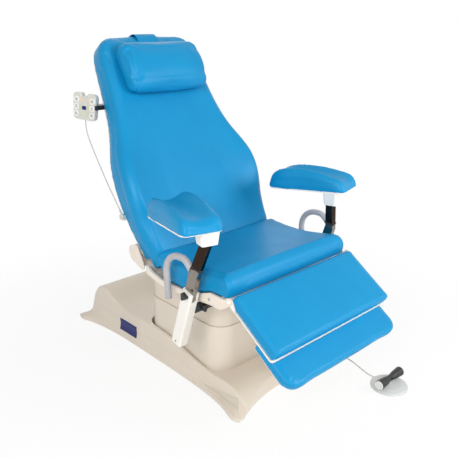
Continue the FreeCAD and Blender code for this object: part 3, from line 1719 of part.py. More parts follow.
def check():
    """Stop if any object failed or any sub-part has no valid shape."""
    for made in doc.Objects:
        if "Invalid" in made.State or "Error" in made.State:
            raise RuntimeError(f"{made.Label} failed: {made.State}")
    for made in nodes:
        if made.Shape.isNull() or not made.Shape.isValid():
            raise RuntimeError(f"{made.Label} has no valid shape")


def export():
    """Write one file for each sub-part."""
    os.makedirs("parts", exist_ok=True)
    for made in nodes:
        made.Shape.exportStep(f"parts/{made.Label}.step")
        print(f"{made.Label}: {len(made.Shape.Solids)} solids, {made.Shape.Volume / 1000:.0f} cm3")


main()
check()
export()
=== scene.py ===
"""Looks of a powered donor chair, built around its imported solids.

Metres, in the solids' own frame: +X the way the patient faces, +Y the patient's left, +Z up.
"""

import json
import logging
import math
from dataclasses import dataclass
from enum import Enum

import bmesh
import bpy
import numpy as np
from bmesh.types import BMesh
from bpy.types import Mesh
from bpy.types import NodeSocket
from bpy.types import NodeTree
from bpy.types import Object
from mathutils import Matrix
from mathutils import Vector
from mathutils.bvhtree import BVHTree


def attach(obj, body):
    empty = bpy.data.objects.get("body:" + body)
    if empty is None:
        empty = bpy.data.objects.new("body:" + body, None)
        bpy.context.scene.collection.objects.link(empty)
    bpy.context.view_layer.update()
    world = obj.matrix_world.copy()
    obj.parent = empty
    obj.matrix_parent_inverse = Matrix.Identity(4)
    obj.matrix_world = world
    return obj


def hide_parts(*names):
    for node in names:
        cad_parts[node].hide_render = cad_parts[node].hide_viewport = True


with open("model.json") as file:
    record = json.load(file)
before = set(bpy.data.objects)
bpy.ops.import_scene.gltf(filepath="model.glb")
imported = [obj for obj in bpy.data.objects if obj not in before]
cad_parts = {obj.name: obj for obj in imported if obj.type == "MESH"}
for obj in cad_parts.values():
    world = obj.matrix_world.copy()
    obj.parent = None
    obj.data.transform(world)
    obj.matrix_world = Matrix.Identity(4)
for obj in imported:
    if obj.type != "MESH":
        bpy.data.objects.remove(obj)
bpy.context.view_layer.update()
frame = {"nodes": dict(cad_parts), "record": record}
log = logging.getLogger("donor_chair")

Colour = tuple[int, int, int]
Point = tuple[float, float, float]

ACROSS = Vector((0.0, 1.0, 0.0))
UP = Vector((0.0, 0.0, 1.0))
SIDES = ((1, "left"), (-1, "right"))
SHARP_TURN = math.radians(35.0)


def linear(colour: Colour) -> tuple[float, float, float, float]:
    """Turn a screen colour of 0 to 255 into the renderer's linear one.

    Args:
        colour: Red, green and blue.

    Returns:
        Linear red, green, blue and full alpha.
    """
    parts = [c / 255 for c in colour]
    flat = [p / 12.92 if p <= 0.04045 else ((p + 0.055) / 1.055) ** 2.4 for p in parts]
    return (flat[0], flat[1], flat[2], 1.0)


def set_all(target: object, **settings: object) -> None:
    """Set several properties of one thing."""
    for name, value in settings.items():
        setattr(target, name, value)


@dataclass
class Tree:
    """Adds and links the nodes of one node tree."""

    tree: NodeTree

    def give(self, node: bpy.types.Node, inputs: dict[str | int, object]) -> None:
        """Link or set some inputs of a node.

        Args:
            node: The node.
            inputs: Socket or value for each input's name or number.
        """
        for name, value in inputs.items():
            if isinstance(value, NodeSocket):
                self.tree.links.new(value, node.inputs[name])
            else:
                node.inputs[name].default_value = value

    def add(
        self, kind: str, inputs: dict[str | int, object] | None = None, **settings: object
    ) -> bpy.types.Node:
        """Add a node.

        Args:
            kind: Blender's name of the node type.
            inputs: Sockets and values for its inputs.
            **settings: Node properties.

        Returns:
            The new node.
        """
        made = self.tree.nodes.new(kind)
        set_all(made, **settings)
        self.give(made, inputs or {})
        return made

    def place(self) -> NodeSocket:
        """Add the object's own coordinates and return their socket."""
        return self.add("ShaderNodeTexCoord").outputs["Object"]

    def math(self, operation: str, *values: object) -> NodeSocket:
        """Add a math node of sockets and numbers and return the result's socket."""
        return self.add("ShaderNodeMath", dict(enumerate(values)), operation=operation).outputs[0]

    def mix(self, share: object, first: object, second: object) -> NodeSocket:
        """Add a mix of two colours by a share of the second and return the result's socket."""
        inputs = {"Factor": share, "A": first, "B": second}
        return self.add("ShaderNodeMix", inputs, data_type="RGBA").outputs["Result"]

    def rays(self, *kinds: str) -> NodeSocket:
        """Add a mask of some kinds of ray.

        Args:
            *kinds: Light Path's names of the rays.

        Returns:
            The mask's socket.
        """
        path = self.add("ShaderNodeLightPath").outputs
        mask = path[kinds[0]]
        for kind in kinds[1:]:
            mask = self.math("MAXIMUM", mask, path[kind])
        return mask


def add_sockets(group: NodeTree, in_out: str, **kinds: str) -> None:
    """Add INPUT or OUTPUT sockets to a group, each named with its kind."""
    for name, kind in kinds.items():
        group.interface.new_socket(name, in_out=in_out, socket_type="NodeSocket" + kind)


class Grain(Enum):
    """Kinds of surface grain, each a shared node group."""

    PEBBLE = "vinyl_pebble"
    MOULD = "mould_texture"
    PEEL = "coat_peel"
    BRUSH = "brush_marks"
    FIBRE = "board_fibre"


class GrainGroup:
    """Builds the shared grain groups: a height for bump and a slow drift for tone and gloss."""

    EVEN = (1.0, 1.0, 1.0)
    STRETCH = {Grain.BRUSH: (1.0, 1.0, 0.03), Grain.FIBRE: (1.0, 0.12, 1.0)}
    DRIFT_SCALE = 7.0
    DRIFT_DETAIL = 4.0
    FINE_DETAIL = 3.0
    PEEL_DETAIL = 1.0
    CREST_TOP = 0.3
    CREST_GAIN = 2.2

    @classmethod
    def get(cls, grain: Grain) -> NodeTree:
        """Return the group of a grain, made on first use."""
        found = bpy.data.node_groups.get(grain.value)
        return found or cls._make(grain)

    @classmethod
    def _make(cls, grain: Grain) -> NodeTree:
        """Build one grain group.

        Args:
            grain: Which grain.

        Returns:
            The group's tree.
        """
        group = bpy.data.node_groups.new(grain.value, "ShaderNodeTree")
        add_sockets(group, "INPUT", Scale="Float")
        add_sockets(group, "OUTPUT", Height="Float", Drift="Float")
        tree = Tree(group)
        scale = tree.add("NodeGroupInput").outputs["Scale"]
        place = tree.place()
        stretch = {0: place, 1: cls.STRETCH.get(grain, cls.EVEN)}
        drawn = tree.add("ShaderNodeVectorMath", stretch, operation="MULTIPLY").outputs[0]
        slow = {"Vector": place, "Scale": cls.DRIFT_SCALE, "Detail": cls.DRIFT_DETAIL}
        drift = tree.add("ShaderNodeTexNoise", slow).outputs["Fac"]
        fine = {"Vector": drawn, "Scale": scale}
        detail = cls.PEEL_DETAIL if grain is Grain.PEEL else cls.FINE_DETAIL
        height = tree.add("ShaderNodeTexNoise", {**fine, "Detail": detail}).outputs["Fac"]
        if grain is Grain.PEBBLE:
            cells = tree.add("ShaderNodeTexVoronoi", fine, feature="DISTANCE_TO_EDGE")
            crest = tree.math("MINIMUM", cells.outputs["Distance"], cls.CREST_TOP)
            height = tree.math("MULTIPLY_ADD", crest, cls.CREST_GAIN, height)
        tree.add("NodeGroupOutput", {"Height": height, "Drift": drift})
        return group


EDGE_RADIUS = 0.0012
EDGE_GAIN = 4.0
EDGE_PATCHES = 60.0


def edge_group() -> NodeTree:
    """Return the shared group that rubs a tone lighter or darker along edges, made on first use.

    Returns:
        The group's tree.
    """
    found = bpy.data.node_groups.get("rubbed_edges")
    if found:
        return found
    group = bpy.data.node_groups.new("rubbed_edges", "ShaderNodeTree")
    add_sockets(group, "INPUT", Tone="Color", Rubbed="Color", Share="Float")
    add_sockets(group, "OUTPUT", Tone="Color", Normal="Vector")
    tree = Tree(group)
    entry = tree.add("NodeGroupInput").outputs
    rounded = tree.add("ShaderNodeBevel", {"Radius": EDGE_RADIUS}, samples=4).outputs["Normal"]
    plain = tree.add("ShaderNodeNewGeometry").outputs["Normal"]
    alike = tree.add("ShaderNodeVectorMath", {0: rounded, 1: plain}, operation="DOT_PRODUCT")
    turn = tree.math("SUBTRACT", 1.0, alike.outputs["Value"])
    steep = tree.math("MULTIPLY", turn, EDGE_GAIN)
    patchy = tree.add("ShaderNodeTexNoise", {"Vector": tree.place(), "Scale": EDGE_PATCHES})
    broken = tree.math("MULTIPLY", steep, patchy.outputs["Fac"])
    share = tree.math("MULTIPLY", broken, entry["Share"])
    tone = tree.mix(tree.math("MINIMUM", share, 1.0), entry["Tone"], entry["Rubbed"])
    tree.add("NodeGroupOutput", {"Tone": tone, "Normal": rounded})
    return group


@dataclass(frozen=True)
class Finish:
    """One procedural finish.

    Attributes:
        name: Name of the finish.
        tone: Main colour.
        shade: Colour that the surface drifts towards.
        rough: Middle roughness.
        grain: Kind of grain.
        fineness: Grain cells per metre.
        relief: Depth of the grain in metres.
        rubbed: Colour along rubbed edges, or None where edges stay as they are.
        share: How strongly edges are rubbed.
        metal: Metallic share.
        coat: Clear coat weight.
        shine: Specular level, where 0.5 is plain plastic.
    """

    COAT_ROUGH = 0.2
    GLOSS_SPREAD = 0.07
    BUMP_STRENGTH = 0.5

    name: str
    tone: Colour
    shade: Colour
    rough: float
    grain: Grain
    fineness: float
    relief: float
    rubbed: Colour | None = None
    share: float = 0.5
    metal: float = 0.0
    coat: float = 0.0
    shine: float = 0.5

    def colour(self, tree: Tree, grain: bpy.types.Node) -> NodeSocket:
        """Add the colour that drifts with a grain group's node and return its socket."""
        return tree.mix(grain.outputs["Drift"], linear(self.tone), linear(self.shade))

    def build(self) -> bpy.types.Material:
        """Return the finish as a material, made on first use.

        Returns:
            The material.
        """
        label = self.name + "_finish"
        found = bpy.data.materials.get(label)
        if found:
            return found
        made = bpy.data.materials.new(label)
        made.use_nodes = True
        tree = Tree(made.node_tree)
        fine = {"Scale": self.fineness}
        grain = tree.add("ShaderNodeGroup", fine, node_tree=GrainGroup.get(self.grain))
        colour = self.colour(tree, grain)
        spread = {"To Min": self.rough - self.GLOSS_SPREAD, "To Max": self.rough + self.GLOSS_SPREAD}
        gloss = tree.add("ShaderNodeMapRange", {"Value": grain.outputs["Drift"], **spread})
        relief = {"Strength": self.BUMP_STRENGTH, "Distance": self.relief}
        bump = tree.add("ShaderNodeBump", {"Height": grain.outputs["Height"], **relief})
        if self.rubbed:
            wear = {"Tone": colour, "Rubbed": linear(self.rubbed), "Share": self.share}
            edges = tree.add("ShaderNodeGroup", wear, node_tree=edge_group())
            tree.give(bump, {"Normal": edges.outputs["Normal"]})
            colour = edges.outputs["Tone"]
        surface = {
            "Base Color": colour, "Metallic": self.metal, "Roughness": gloss.outputs["Result"],
            "Specular IOR Level": self.shine, "Coat Weight": self.coat, "Coat Roughness": self.COAT_ROUGH,
            "Normal": bump.outputs["Normal"],
        }
        tree.give(made.node_tree.nodes["Principled BSDF"], surface)
        return made


@dataclass(frozen=True)
class SplitFinish(Finish):
    """A finish with another tone above a level; on the arm bars that tone is a painted dark reflection.

    Attributes:
        upper: Colour above the level, painted in as a darker reflection.
        level: The level in metres.
    """

    upper: Colour = (255, 255, 255)
    level: float = 0.0

    def colour(self, tree: Tree, grain: bpy.types.Node) -> NodeSocket:
        """Add the drifting colour, changed above the level to the painted reflection tone.

        Args:
            tree: The material's tree.
            grain: The grain group's node.

        Returns:
            The colour's socket.
        """
        parts = tree.add("ShaderNodeSeparateXYZ", {"Vector": tree.place()})
        above = tree.math("GREATER_THAN", parts.outputs["Z"], self.level)
        return tree.mix(above, super().colour(tree, grain), linear(self.upper))


BLUE_VINYL = Finish(
    "blue_vinyl", (13, 149, 203), (8, 138, 193), 0.42, Grain.PEBBLE, 700, 0.00011, shine=0.25
)
BEIGE_SHELL = Finish(
    "beige_shell", (228, 217, 202), (220, 209, 194), 0.46, Grain.MOULD, 1500, 0.00012, (238, 231, 220), 0.4
)
CREAM_SHELL = Finish(
    "cream_shell", (241, 230, 216), (236, 224, 209), 0.36, Grain.MOULD, 1700, 0.00006, (255, 249, 240), 0.4
)
WHITE_COAT = Finish(
    "white_coat", (248, 244, 236), (242, 238, 230), 0.3, Grain.PEEL, 420, 0.00008, (226, 224, 220), 0.3,
    coat=0.2,
)
WHITE_PLASTIC = Finish(
    "white_plastic", (250, 248, 243), (245, 242, 236), 0.34, Grain.MOULD, 1800, 0.00005, (255, 253, 250),
    0.3,
)
# The bars above their bend are painted dark brown: a painted reflection of their surroundings, not a tone
# of the steel.
POLISHED_BAR = SplitFinish(
    "polished_bar", (150, 143, 136), (134, 127, 120), 0.2, Grain.BRUSH, 900, 0.00002, (205, 202, 198), 0.5,
    metal=1.0, upper=(58, 45, 37), level=0.573,
)
GREY_TUBE = Finish(
    "grey_tube", (186, 184, 186), (176, 174, 177), 0.34, Grain.PEEL, 500, 0.00006, (205, 204, 205), 0.3,
    coat=0.1,
)
DARK_STEEL = Finish(
    "dark_steel", (58, 60, 63), (48, 50, 53), 0.5, Grain.PEEL, 600, 0.0001, (120, 120, 122), 0.5
)
BRIGHT_STEEL = Finish(
    "bright_steel", (188, 188, 190), (168, 168, 171), 0.3, Grain.BRUSH, 1300, 0.00003, (220, 220, 222), 0.4,
    metal=1.0,
)
BLACK_PLASTIC = Finish(
    "black_plastic", (30, 31, 33), (24, 25, 27), 0.45, Grain.MOULD, 1600, 0.0001, (70, 71, 74), 0.4
)
BLACK_RUBBER = Finish(
    "black_rubber", (36, 36, 37), (28, 28, 29), 0.72, Grain.MOULD, 1200, 0.0002, (60, 60, 61), 0.3
)
BOARD = Finish(
    "laminate_board", (236, 232, 224), (229, 224, 215), 0.5, Grain.FIBRE, 500, 0.00006, (246, 243, 237), 0.4
)
HANDSET_SHELL = Finish(
    "handset_shell", (214, 213, 206), (207, 206, 199), 0.42, Grain.MOULD, 2200, 0.00006, (248, 248, 244),
    0.4,
)
KEY_CAP = Finish(
    "key_cap", (214, 218, 220), (205, 209, 212), 0.4, Grain.MOULD, 2400, 0.00004, (236, 238, 240), 0.4
)
CORD_SHEATH = Finish("cord_sheath", (208, 208, 205), (198, 198, 196), 0.5, Grain.MOULD, 1500, 0.00008)
SWITCH_SHELL = Finish(
    "switch_shell", (216, 219, 217), (208, 211, 209), 0.42, Grain.MOULD, 1800, 0.0001, (234, 236, 235), 0.4
)
NAVY_PLATE = Finish(
    "navy_plate", (28, 34, 106), (24, 29, 96), 0.4, Grain.BRUSH, 1200, 0.00002, (84, 90, 148), 0.4,
    shine=0.3,
)
TOE_PANEL = Finish(
    "toe_panel", (221, 212, 197), (211, 202, 187), 0.6, Grain.MOULD, 260, 0.0012, (232, 224, 211), 0.5
)
PEACH_PATCH = Finish("peach_patch", (236, 208, 182), (230, 201, 174), 0.45, Grain.MOULD, 2600, 0.00003)
LEAF_PATCH = Finish("leaf_patch", (205, 214, 176), (198, 207, 168), 0.45, Grain.MOULD, 2600, 0.00003)
PALE_MARK = Finish("pale_mark", (222, 196, 110), (214, 188, 102), 0.45, Grain.MOULD, 2600, 0.00003)
SLATE_MARK = Finish("slate_mark", (96, 110, 150), (88, 102, 142), 0.45, Grain.MOULD, 2600, 0.00003)

SLOT_FINISHES: dict[str, Finish] = {
    finish.name: finish
    for finish in (
        BLUE_VINYL, BEIGE_SHELL, CREAM_SHELL, WHITE_COAT, WHITE_PLASTIC, POLISHED_BAR, GREY_TUBE,
        DARK_STEEL, BRIGHT_STEEL, BLACK_PLASTIC, BLACK_RUBBER, HANDSET_SHELL, KEY_CAP, CORD_SHEATH,
        SWITCH_SHELL,
    )
}
SLOT_FINISHES["board"] = BOARD

BACK_HINGE = Vector((0.063, 0.0, 0.440))
BACK_LEAN = math.radians(30.0)
LEG_HINGE = Vector((0.541, 0.0, 0.485))
LEG_DROP = math.radians(34.7)
ON_BACK = Matrix.Translation(BACK_HINGE) @ Matrix.Rotation(-BACK_LEAN, 4, "Y")
ON_LEG = Matrix.Translation(LEG_HINGE) @ Matrix.Rotation(LEG_DROP, 4, "Y")
HANDSET_PLACE = (
    Matrix.Translation((-0.318, -0.300, 1.030))
    @ Matrix.Rotation(math.radians(26.0), 4, "Z")
    @ Matrix.Rotation(math.radians(90.0), 4, "X")
    @ Matrix.Rotation(math.radians(-7.0), 4, "Z")
)


def put(name: str, data: bpy.types.ID) -> Object:
    """Put a new object into the scene.

    Args:
        name: Object name.
        data: What it holds.

    Returns:
        The new object.
    """
    made = bpy.data.objects.new(name, data)
    bpy.context.scene.collection.objects.link(made)
    return made


def add_object(name: str, mesh: Mesh, finish: Finish) -> Object:
    """Put a mesh into the scene with its finish.

    Args:
        name: Object name.
        mesh: The mesh, already in place.
        finish: Its finish.

    Returns:
        The new object.
    """
    made = put(name, mesh)
    mesh.materials.clear()
    mesh.materials.append(finish.build())
    return made


def modify(made: Object, kind: str, **settings: object) -> bpy.types.Modifier:
    """Add a modifier to an object.

    Args:
        made: The object.
        kind: Blender's name of the kind.
        **settings: Modifier properties.

    Returns:
        The modifier.
    """
    added = made.modifiers.new(kind.lower(), kind)
    set_all(added, **settings)
    return added


def settle(made: Object, body: str) -> None:
    """Let a piece ride on a body and report it.

    Args:
        made: The piece.
        body: Body that it moves with.
    """
    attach(made, body)
    log.info("%s on %s", made.name, body)


def from_bmesh(
    name: str, shape: BMesh, place: Matrix, finish: Finish, smooth: bool = True
) -> Object:
    """Turn a bmesh into an object with its place in its mesh.

    Args:
        name: Object name.
        shape: The bmesh, which is freed.
        place: Where it goes.
        finish: Its finish.
        smooth: Whether faces are shaded smooth.

    Returns:
        The new object.
    """
    bmesh.ops.transform(shape, matrix=place, verts=shape.verts)
    bmesh.ops.recalc_face_normals(shape, faces=shape.faces)
    for face in shape.faces:
        face.smooth = smooth
    mesh = bpy.data.meshes.new(name)
    shape.to_mesh(mesh)
    shape.free()
    if smooth:
        mesh.set_sharp_from_angle(angle=SHARP_TURN)
    return add_object(name, mesh, finish)


def block(size: Point, width: float, segments: int) -> BMesh:
    """Make a box with bevelled edges about the origin.

    Args:
        size: Its three sides.
        width: Bevel width.
        segments: Bevel segments.

    Returns:
        The box.
    """
    shape = bmesh.new()
    bmesh.ops.create_cube(shape, size=1.0)
    bmesh.ops.scale(shape, vec=size, verts=shape.verts)
    bmesh.ops.bevel(
        shape, geom=shape.edges[:], offset=width, offset_type="OFFSET", segments=segments, profile=0.5,
        material=-1, affect="EDGES",
    )
    return shape


def turned(profile: list[tuple[float, float]], steps: int = 32) -> BMesh:
    """Spin a profile of radius and height about Z.

    Args:
        profile: Pairs of radius and height, from bottom to top.
        steps: Number of steps round.

    Returns:
        The turned shape.
    """
    shape = bmesh.new()
    verts = [shape.verts.new((radius, 0.0, height)) for radius, height in profile]
    for first, second in zip(verts, verts[1:]):
        shape.edges.new((first, second))
    bmesh.ops.spin(
        shape, geom=shape.verts[:] + shape.edges[:], cent=(0, 0, 0), axis=UP, angle=2 * math.pi,
        steps=steps, use_merge=True, use_duplicate=False,
    )
    bmesh.ops.remove_doubles(shape, verts=shape.verts, dist=1e-6)
    return shape


def facing(point: Point, normal: Point) -> Matrix:
    """Return the place of a small part at a point, with its Z along the surface's normal."""
    turn = UP.rotation_difference(Vector(normal)).to_matrix().to_4x4()
    return Matrix.Translation(point) @ turn


def mirrored(point: Point, side: int) -> Vector:
    """Return a point as it is for side 1 and mirrored across the middle for side -1."""
    return Vector((point[0], side * point[1], point[2]))


def nurbs_line(curve: bpy.types.Curve, route: list[Point]) -> None:
    """Lay a smooth line along control points, from the first to the last.

    Args:
        curve: The curve that gets the line.
        route: Control points.
    """
    line = curve.splines.new("NURBS")
    line.points.add(len(route) - 1)
    for point, place in zip(line.points, route):
        point.co = (*place, 1.0)
    line.order_u = 3
    line.use_endpoint_u = True


def solid_shape(node: str) -> BMesh:
    """Copy a solid's mesh.

    Args:
        node: Name of the solid.

    Returns:
        The copy.
    """
    shape = bmesh.new()
    shape.from_mesh(frame["nodes"][node].data)
    return shape


def cover_faces() -> BVHTree:
    """Find the base cover's faces, for trim that lies on them.

    Returns:
        The faces.
    """
    shape = solid_shape("base_cover")
    faces = BVHTree.FromBMesh(shape)
    shape.free()
    return faces


@dataclass(frozen=True)
class Seam:
    """A sewn line where a plane meets a cushion.

    Attributes:
        point: A point of the plane.
        normal: The plane's normal.
        width: Half-width of the groove.
        depth: Depth of the groove.
    """

    point: Vector
    normal: Vector
    width: float
    depth: float


@dataclass
class Cushion:
    """A padded piece: the solid's form, blown up a little as cloth over foam, with its sewn lines.

    Attributes:
        node: The solid that it stands for.
        body: Body that it rides on.
        rest: Way towards what it rests on.
        voxel: Remesh size.
        shrink: How far it starts inside the solid.
        cap: How far a point may swell.
        pressure: Cloth pressure.
        fill: How full it is, from 0 to 1; not used.
        seams: Sewn lines.
        finer: Whether it is subdivided once before its seams.
        soften: Rounds of smoothing over its edges.
        skirt, flare: How far its rim is drawn over what it rests on, and how far it stands out.
        reach: Height of that rim.
        crown: How far the middle of its head end is raised.
    """

    FRAMES = 20
    STIFFNESS = 25.0
    BENDING = 6.0
    MASS = 0.4
    RESTING = 0.75
    WELD = 2e-5
    CROWN_FROM = 0.86
    CROWN_RUN = 0.075
    CROWN_HALF = 0.21

    node: str
    body: str
    rest: Vector
    voxel: float = 0.005
    shrink: float = 0.0006
    cap: float = 0.005
    pressure: float = 4.0
    fill: float = 0.75
    seams: tuple[Seam, ...] = ()
    finer: bool = True
    soften: int = 3
    skirt: float = 0.0
    flare: float = 0.0
    reach: float = 0.012
    crown: float = 0.0

    def build(self) -> None:
        """Make the cushion."""
        made = add_object(self.node + "_cover", self._start(), BLUE_VINYL)
        self._swell(made)
        if self.finer:
            self._refine(made)
        self._wrap(made)
        self._sew(made)
        for polygon in made.data.polygons:
            polygon.use_smooth = True
        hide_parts(self.node)
        settle(made, self.body)

    def _start(self) -> Mesh:
        """Remesh a copy of the solid and draw it in.

        Returns:
            The starting mesh.
        """
        shape = solid_shape(self.node)
        bmesh.ops.remove_doubles(shape, verts=shape.verts, dist=self.WELD)
        copy = bpy.data.meshes.new(self.node + "_start")
        shape.to_mesh(copy)
        shape.free()
        holder = put(self.node + "_holder", copy)
        modify(holder, "REMESH", mode="VOXEL", voxel_size=self.voxel, use_smooth_shade=True)
        modify(holder, "SMOOTH", factor=0.5, iterations=self.soften)
        modify(holder, "DISPLACE", mid_level=0.0, strength=-self.shrink)
        mesh = evaluated_mesh(holder)
        bpy.data.objects.remove(holder)
        return mesh

    def _swell(self, made: Object) -> None:
        """Blow the cover up a little with cloth, held flat where it rests.

        Args:
            made: The piece.
        """
        start = vertex_rows(made.data, "co")
        resting = vertex_rows(made.data, "normal") @ np.array(self.rest) > self.RESTING
        held = made.vertex_groups.new(name="held")
        held.add([int(i) for i in np.nonzero(resting)[0]], 1.0, "REPLACE")
        cloth = modify(made, "CLOTH")
        set_all(
            cloth.settings, quality=3, mass=self.MASS, tension_stiffness=self.STIFFNESS,
            compression_stiffness=self.STIFFNESS, bending_stiffness=self.BENDING, use_pressure=True,
            uniform_pressure_force=self.pressure, vertex_group_mass="held",
        )
        cloth.settings.effector_weights.gravity = 0.0
        cloth.collision_settings.use_collision = False
        set_all(cloth.point_cache, frame_start=1, frame_end=self.FRAMES)
        for number in range(1, self.FRAMES + 1):
            bpy.context.scene.frame_set(number)
        blown = vertex_rows(evaluated_mesh(made), "co")
        made.modifiers.remove(cloth)
        bpy.context.scene.frame_set(1)
        move = blown - start
        length = np.linalg.norm(move, axis=1, keepdims=True)
        limit = np.minimum(1.0, self.cap / np.maximum(length, 1e-9))
        write_coordinates(made.data, start + move * limit)
        made.vertex_groups.clear()

    def _refine(self, made: Object) -> None:
        """Subdivide the cover once.

        Args:
            made: The piece.
        """
        finer = modify(made, "SUBSURF", levels=1, render_levels=1)
        mesh = evaluated_mesh(made)
        made.modifiers.remove(finer)
        old = made.data
        made.data = mesh
        bpy.data.meshes.remove(old)

    def _wrap(self, made: Object) -> None:
        """Draw the rim over what the cushion rests on and raise the middle of its head end.

        Args:
            made: The piece.
        """
        place = vertex_rows(made.data, "co")
        normals = vertex_rows(made.data, "normal")
        if self.skirt:
            rest = np.array(self.rest)
            depth = place @ rest
            share = np.clip(1.0 - (depth.max() - depth) / self.reach, 0.0, 1.0)[:, None]
            aside = normals - (normals @ rest)[:, None] * rest
            place = place + share * (rest * self.skirt + aside * self.flare)
        if self.crown:
            turn = np.array(ON_BACK.to_3x3())
            local = (place - np.array(ON_BACK.translation)) @ turn
            rise = np.clip((local[:, 2] - self.CROWN_FROM) / self.CROWN_RUN, 0.0, 1.0)
            aside = np.clip(np.abs(local[:, 1]) / self.CROWN_HALF, 0.0, 1.0)
            lift = self.crown * rise * rise * (3 - 2 * rise) * np.cos(0.5 * math.pi * aside) ** 2
            place = place + lift[:, None] * turn[:, 2]
        write_coordinates(made.data, place)

    def _sew(self, made: Object) -> None:
        """Pull the cover in along its sewn lines.

        Args:
            made: The piece.
        """
        if not self.seams:
            return
        place = vertex_rows(made.data, "co")
        normals = vertex_rows(made.data, "normal")
        pull = np.zeros(len(place))
        for seam in self.seams:
            away = np.abs((place - np.array(seam.point)) @ np.array(seam.normal))
            share = np.clip(1.0 - away / seam.width, 0.0, 1.0)
            across = 1.0 - np.abs(normals @ np.array(seam.normal))
            depth = seam.depth * share * share * (3 - 2 * share) * np.clip(3 * across, 0, 1)
            pull = np.maximum(pull, depth)
        write_coordinates(made.data, place - normals * pull[:, None])


def evaluated_mesh(made: Object) -> Mesh:
    """Return an object's mesh with its modifiers applied, as a new mesh."""
    graph = bpy.context.evaluated_depsgraph_get()
    return bpy.data.meshes.new_from_object(made.evaluated_get(graph))


def vertex_rows(mesh: Mesh, what: str) -> np.ndarray:
    """Read one property of a mesh's vertices.

    Args:
        mesh: The mesh.
        what: Name of the property.

    Returns:
        Rows of three.
    """
    flat = np.zeros(len(mesh.vertices) * 3, np.float32)
    mesh.vertices.foreach_get(what, flat)
    return flat.reshape(-1, 3).astype(float)


def write_coordinates(mesh: Mesh, places: np.ndarray) -> None:
    """Set a mesh's vertex places from rows of three."""
    mesh.vertices.foreach_set("co", places.astype(np.float32).ravel())
    mesh.update()


@dataclass
class Upholstery:
    """All cushions, the pillow and its strap.

    Attributes:
        seat_half, leg_half, pillow_half, strap_half: Half-widths.
        strap_thick, strap_edge: Thickness of the strap and rounding of its edges.
        hem_at: Place of the hems, as a share of the half-width.
        hem_width: Width of a hem's groove to one side.
        hem_depth: Depth of that groove.
        ripple: Height of the strap's slight waves.
        ripple_rate: Waves' turn in radians per metre.
        pad_down: Way down through the left arm pad.
    """

    seat_half: float = 0.315
    leg_half: float = 0.313
    pillow_half: float = 0.187
    strap_half: float = 0.050
    strap_thick: float = 0.003
    strap_edge: float = 0.0011
    hem_at: float = 0.85
    hem_width: float = 0.006
    hem_depth: float = 0.0006
    ripple: float = 0.0004
    ripple_rate: float = 90.0
    pad_down: Point = (0.0641, 0.0170, -0.9978)

    def build(self) -> None:
        """Make every soft piece."""
        back_normal = (ON_BACK.to_3x3() @ Vector((-1, 0, 0))).normalized()
        leg_normal = (ON_LEG.to_3x3() @ -UP).normalized()
        seat_seams = self._side_seams(self.seat_half - 0.017, 0.006, 0.0016)
        leg_seams = self._side_seams(self.leg_half - 0.009, 0.005, 0.0014)
        pillow_seams = self._side_seams(self.pillow_half - 0.016, 0.006, 0.003)
        Cushion("seat_cushion", "seat", -UP, voxel=0.006, seams=seat_seams).build()
        Cushion(
            "back_cushion", "back", back_normal, voxel=0.006, finer=False, soften=2, skirt=0.006,
            flare=0.003, crown=0.0095,
        ).build()
        Cushion(
            "leg_cushion", "leg", leg_normal, cap=0.0015, pressure=2.0, seams=leg_seams, soften=1
        ).build()
        Cushion("foot_cushion", "foot", leg_normal, cap=0.0015, pressure=2.0, soften=2).build()
        for side, name in SIDES:
            Cushion(
                f"arm_pad_{name}", f"pad_{name}", mirrored(self.pad_down, side), cap=0.003, skirt=0.0044,
                flare=0.0055, reach=0.032,
            ).build()
        Cushion("pillow", "pillow", back_normal, cap=0.004, seams=pillow_seams).build()
        self._strap()

    @staticmethod
    def _side_seams(half: float, width: float, depth: float) -> tuple[Seam, ...]:
        """Return the sewn lines at a distance from the middle along both sides of a cushion."""
        return tuple(Seam(side * half * ACROSS, ACROSS, width, depth) for side in (-1, 1))

    def _strap(self) -> None:
        """Make the pillow's strap: a ribbon over the top of the back, doubled and hemmed."""
        route = [
            (0.1075, 0.700), (0.1075, 0.790), (0.1075, 0.880), (0.1060, 0.921), (0.0900, 0.9425),
            (0.0560, 0.9498), (0.0240, 0.9488), (0.0010, 0.9370), (-0.0055, 0.9120), (-0.0050, 0.860),
            (-0.0050, 0.775),
        ]
        curve = bpy.data.curves.new("strap_line", "CURVE")
        set_all(curve, dimensions="2D", fill_mode="NONE", extrude=self.strap_half, resolution_u=6)
        nurbs_line(curve, [(out, rise, 0.0) for out, rise in route])
        holder = put("strap_holder", curve)
        mesh = evaluated_mesh(holder)
        bpy.data.objects.remove(holder)
        shape = bmesh.new()
        shape.from_mesh(mesh)
        bmesh.ops.remove_doubles(shape, verts=shape.verts, dist=1e-6)
        across = [e for e in shape.edges if abs(e.verts[0].co.z - e.verts[1].co.z) > self.strap_half]
        bmesh.ops.subdivide_edges(shape, edges=across, cuts=15, use_grid_fill=True)
        for vert in shape.verts:
            near_hem = abs(abs(vert.co.z) - self.hem_at * self.strap_half)
            vert.co.y += self.ripple * math.sin(vert.co.x * self.ripple_rate)
            vert.co.y -= self.hem_depth * max(0.0, 1 - near_hem / self.hem_width)
        upright = Matrix.Rotation(math.radians(90.0), 4, "X")
        made = from_bmesh("pillow_strap_ribbon", shape, ON_BACK @ upright, BLUE_VINYL)
        modify(made, "SOLIDIFY", thickness=self.strap_thick, offset=0.0)
        modify(made, "BEVEL", width=self.strap_edge, segments=2)
        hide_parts("pillow_strap")
        settle(made, "back")


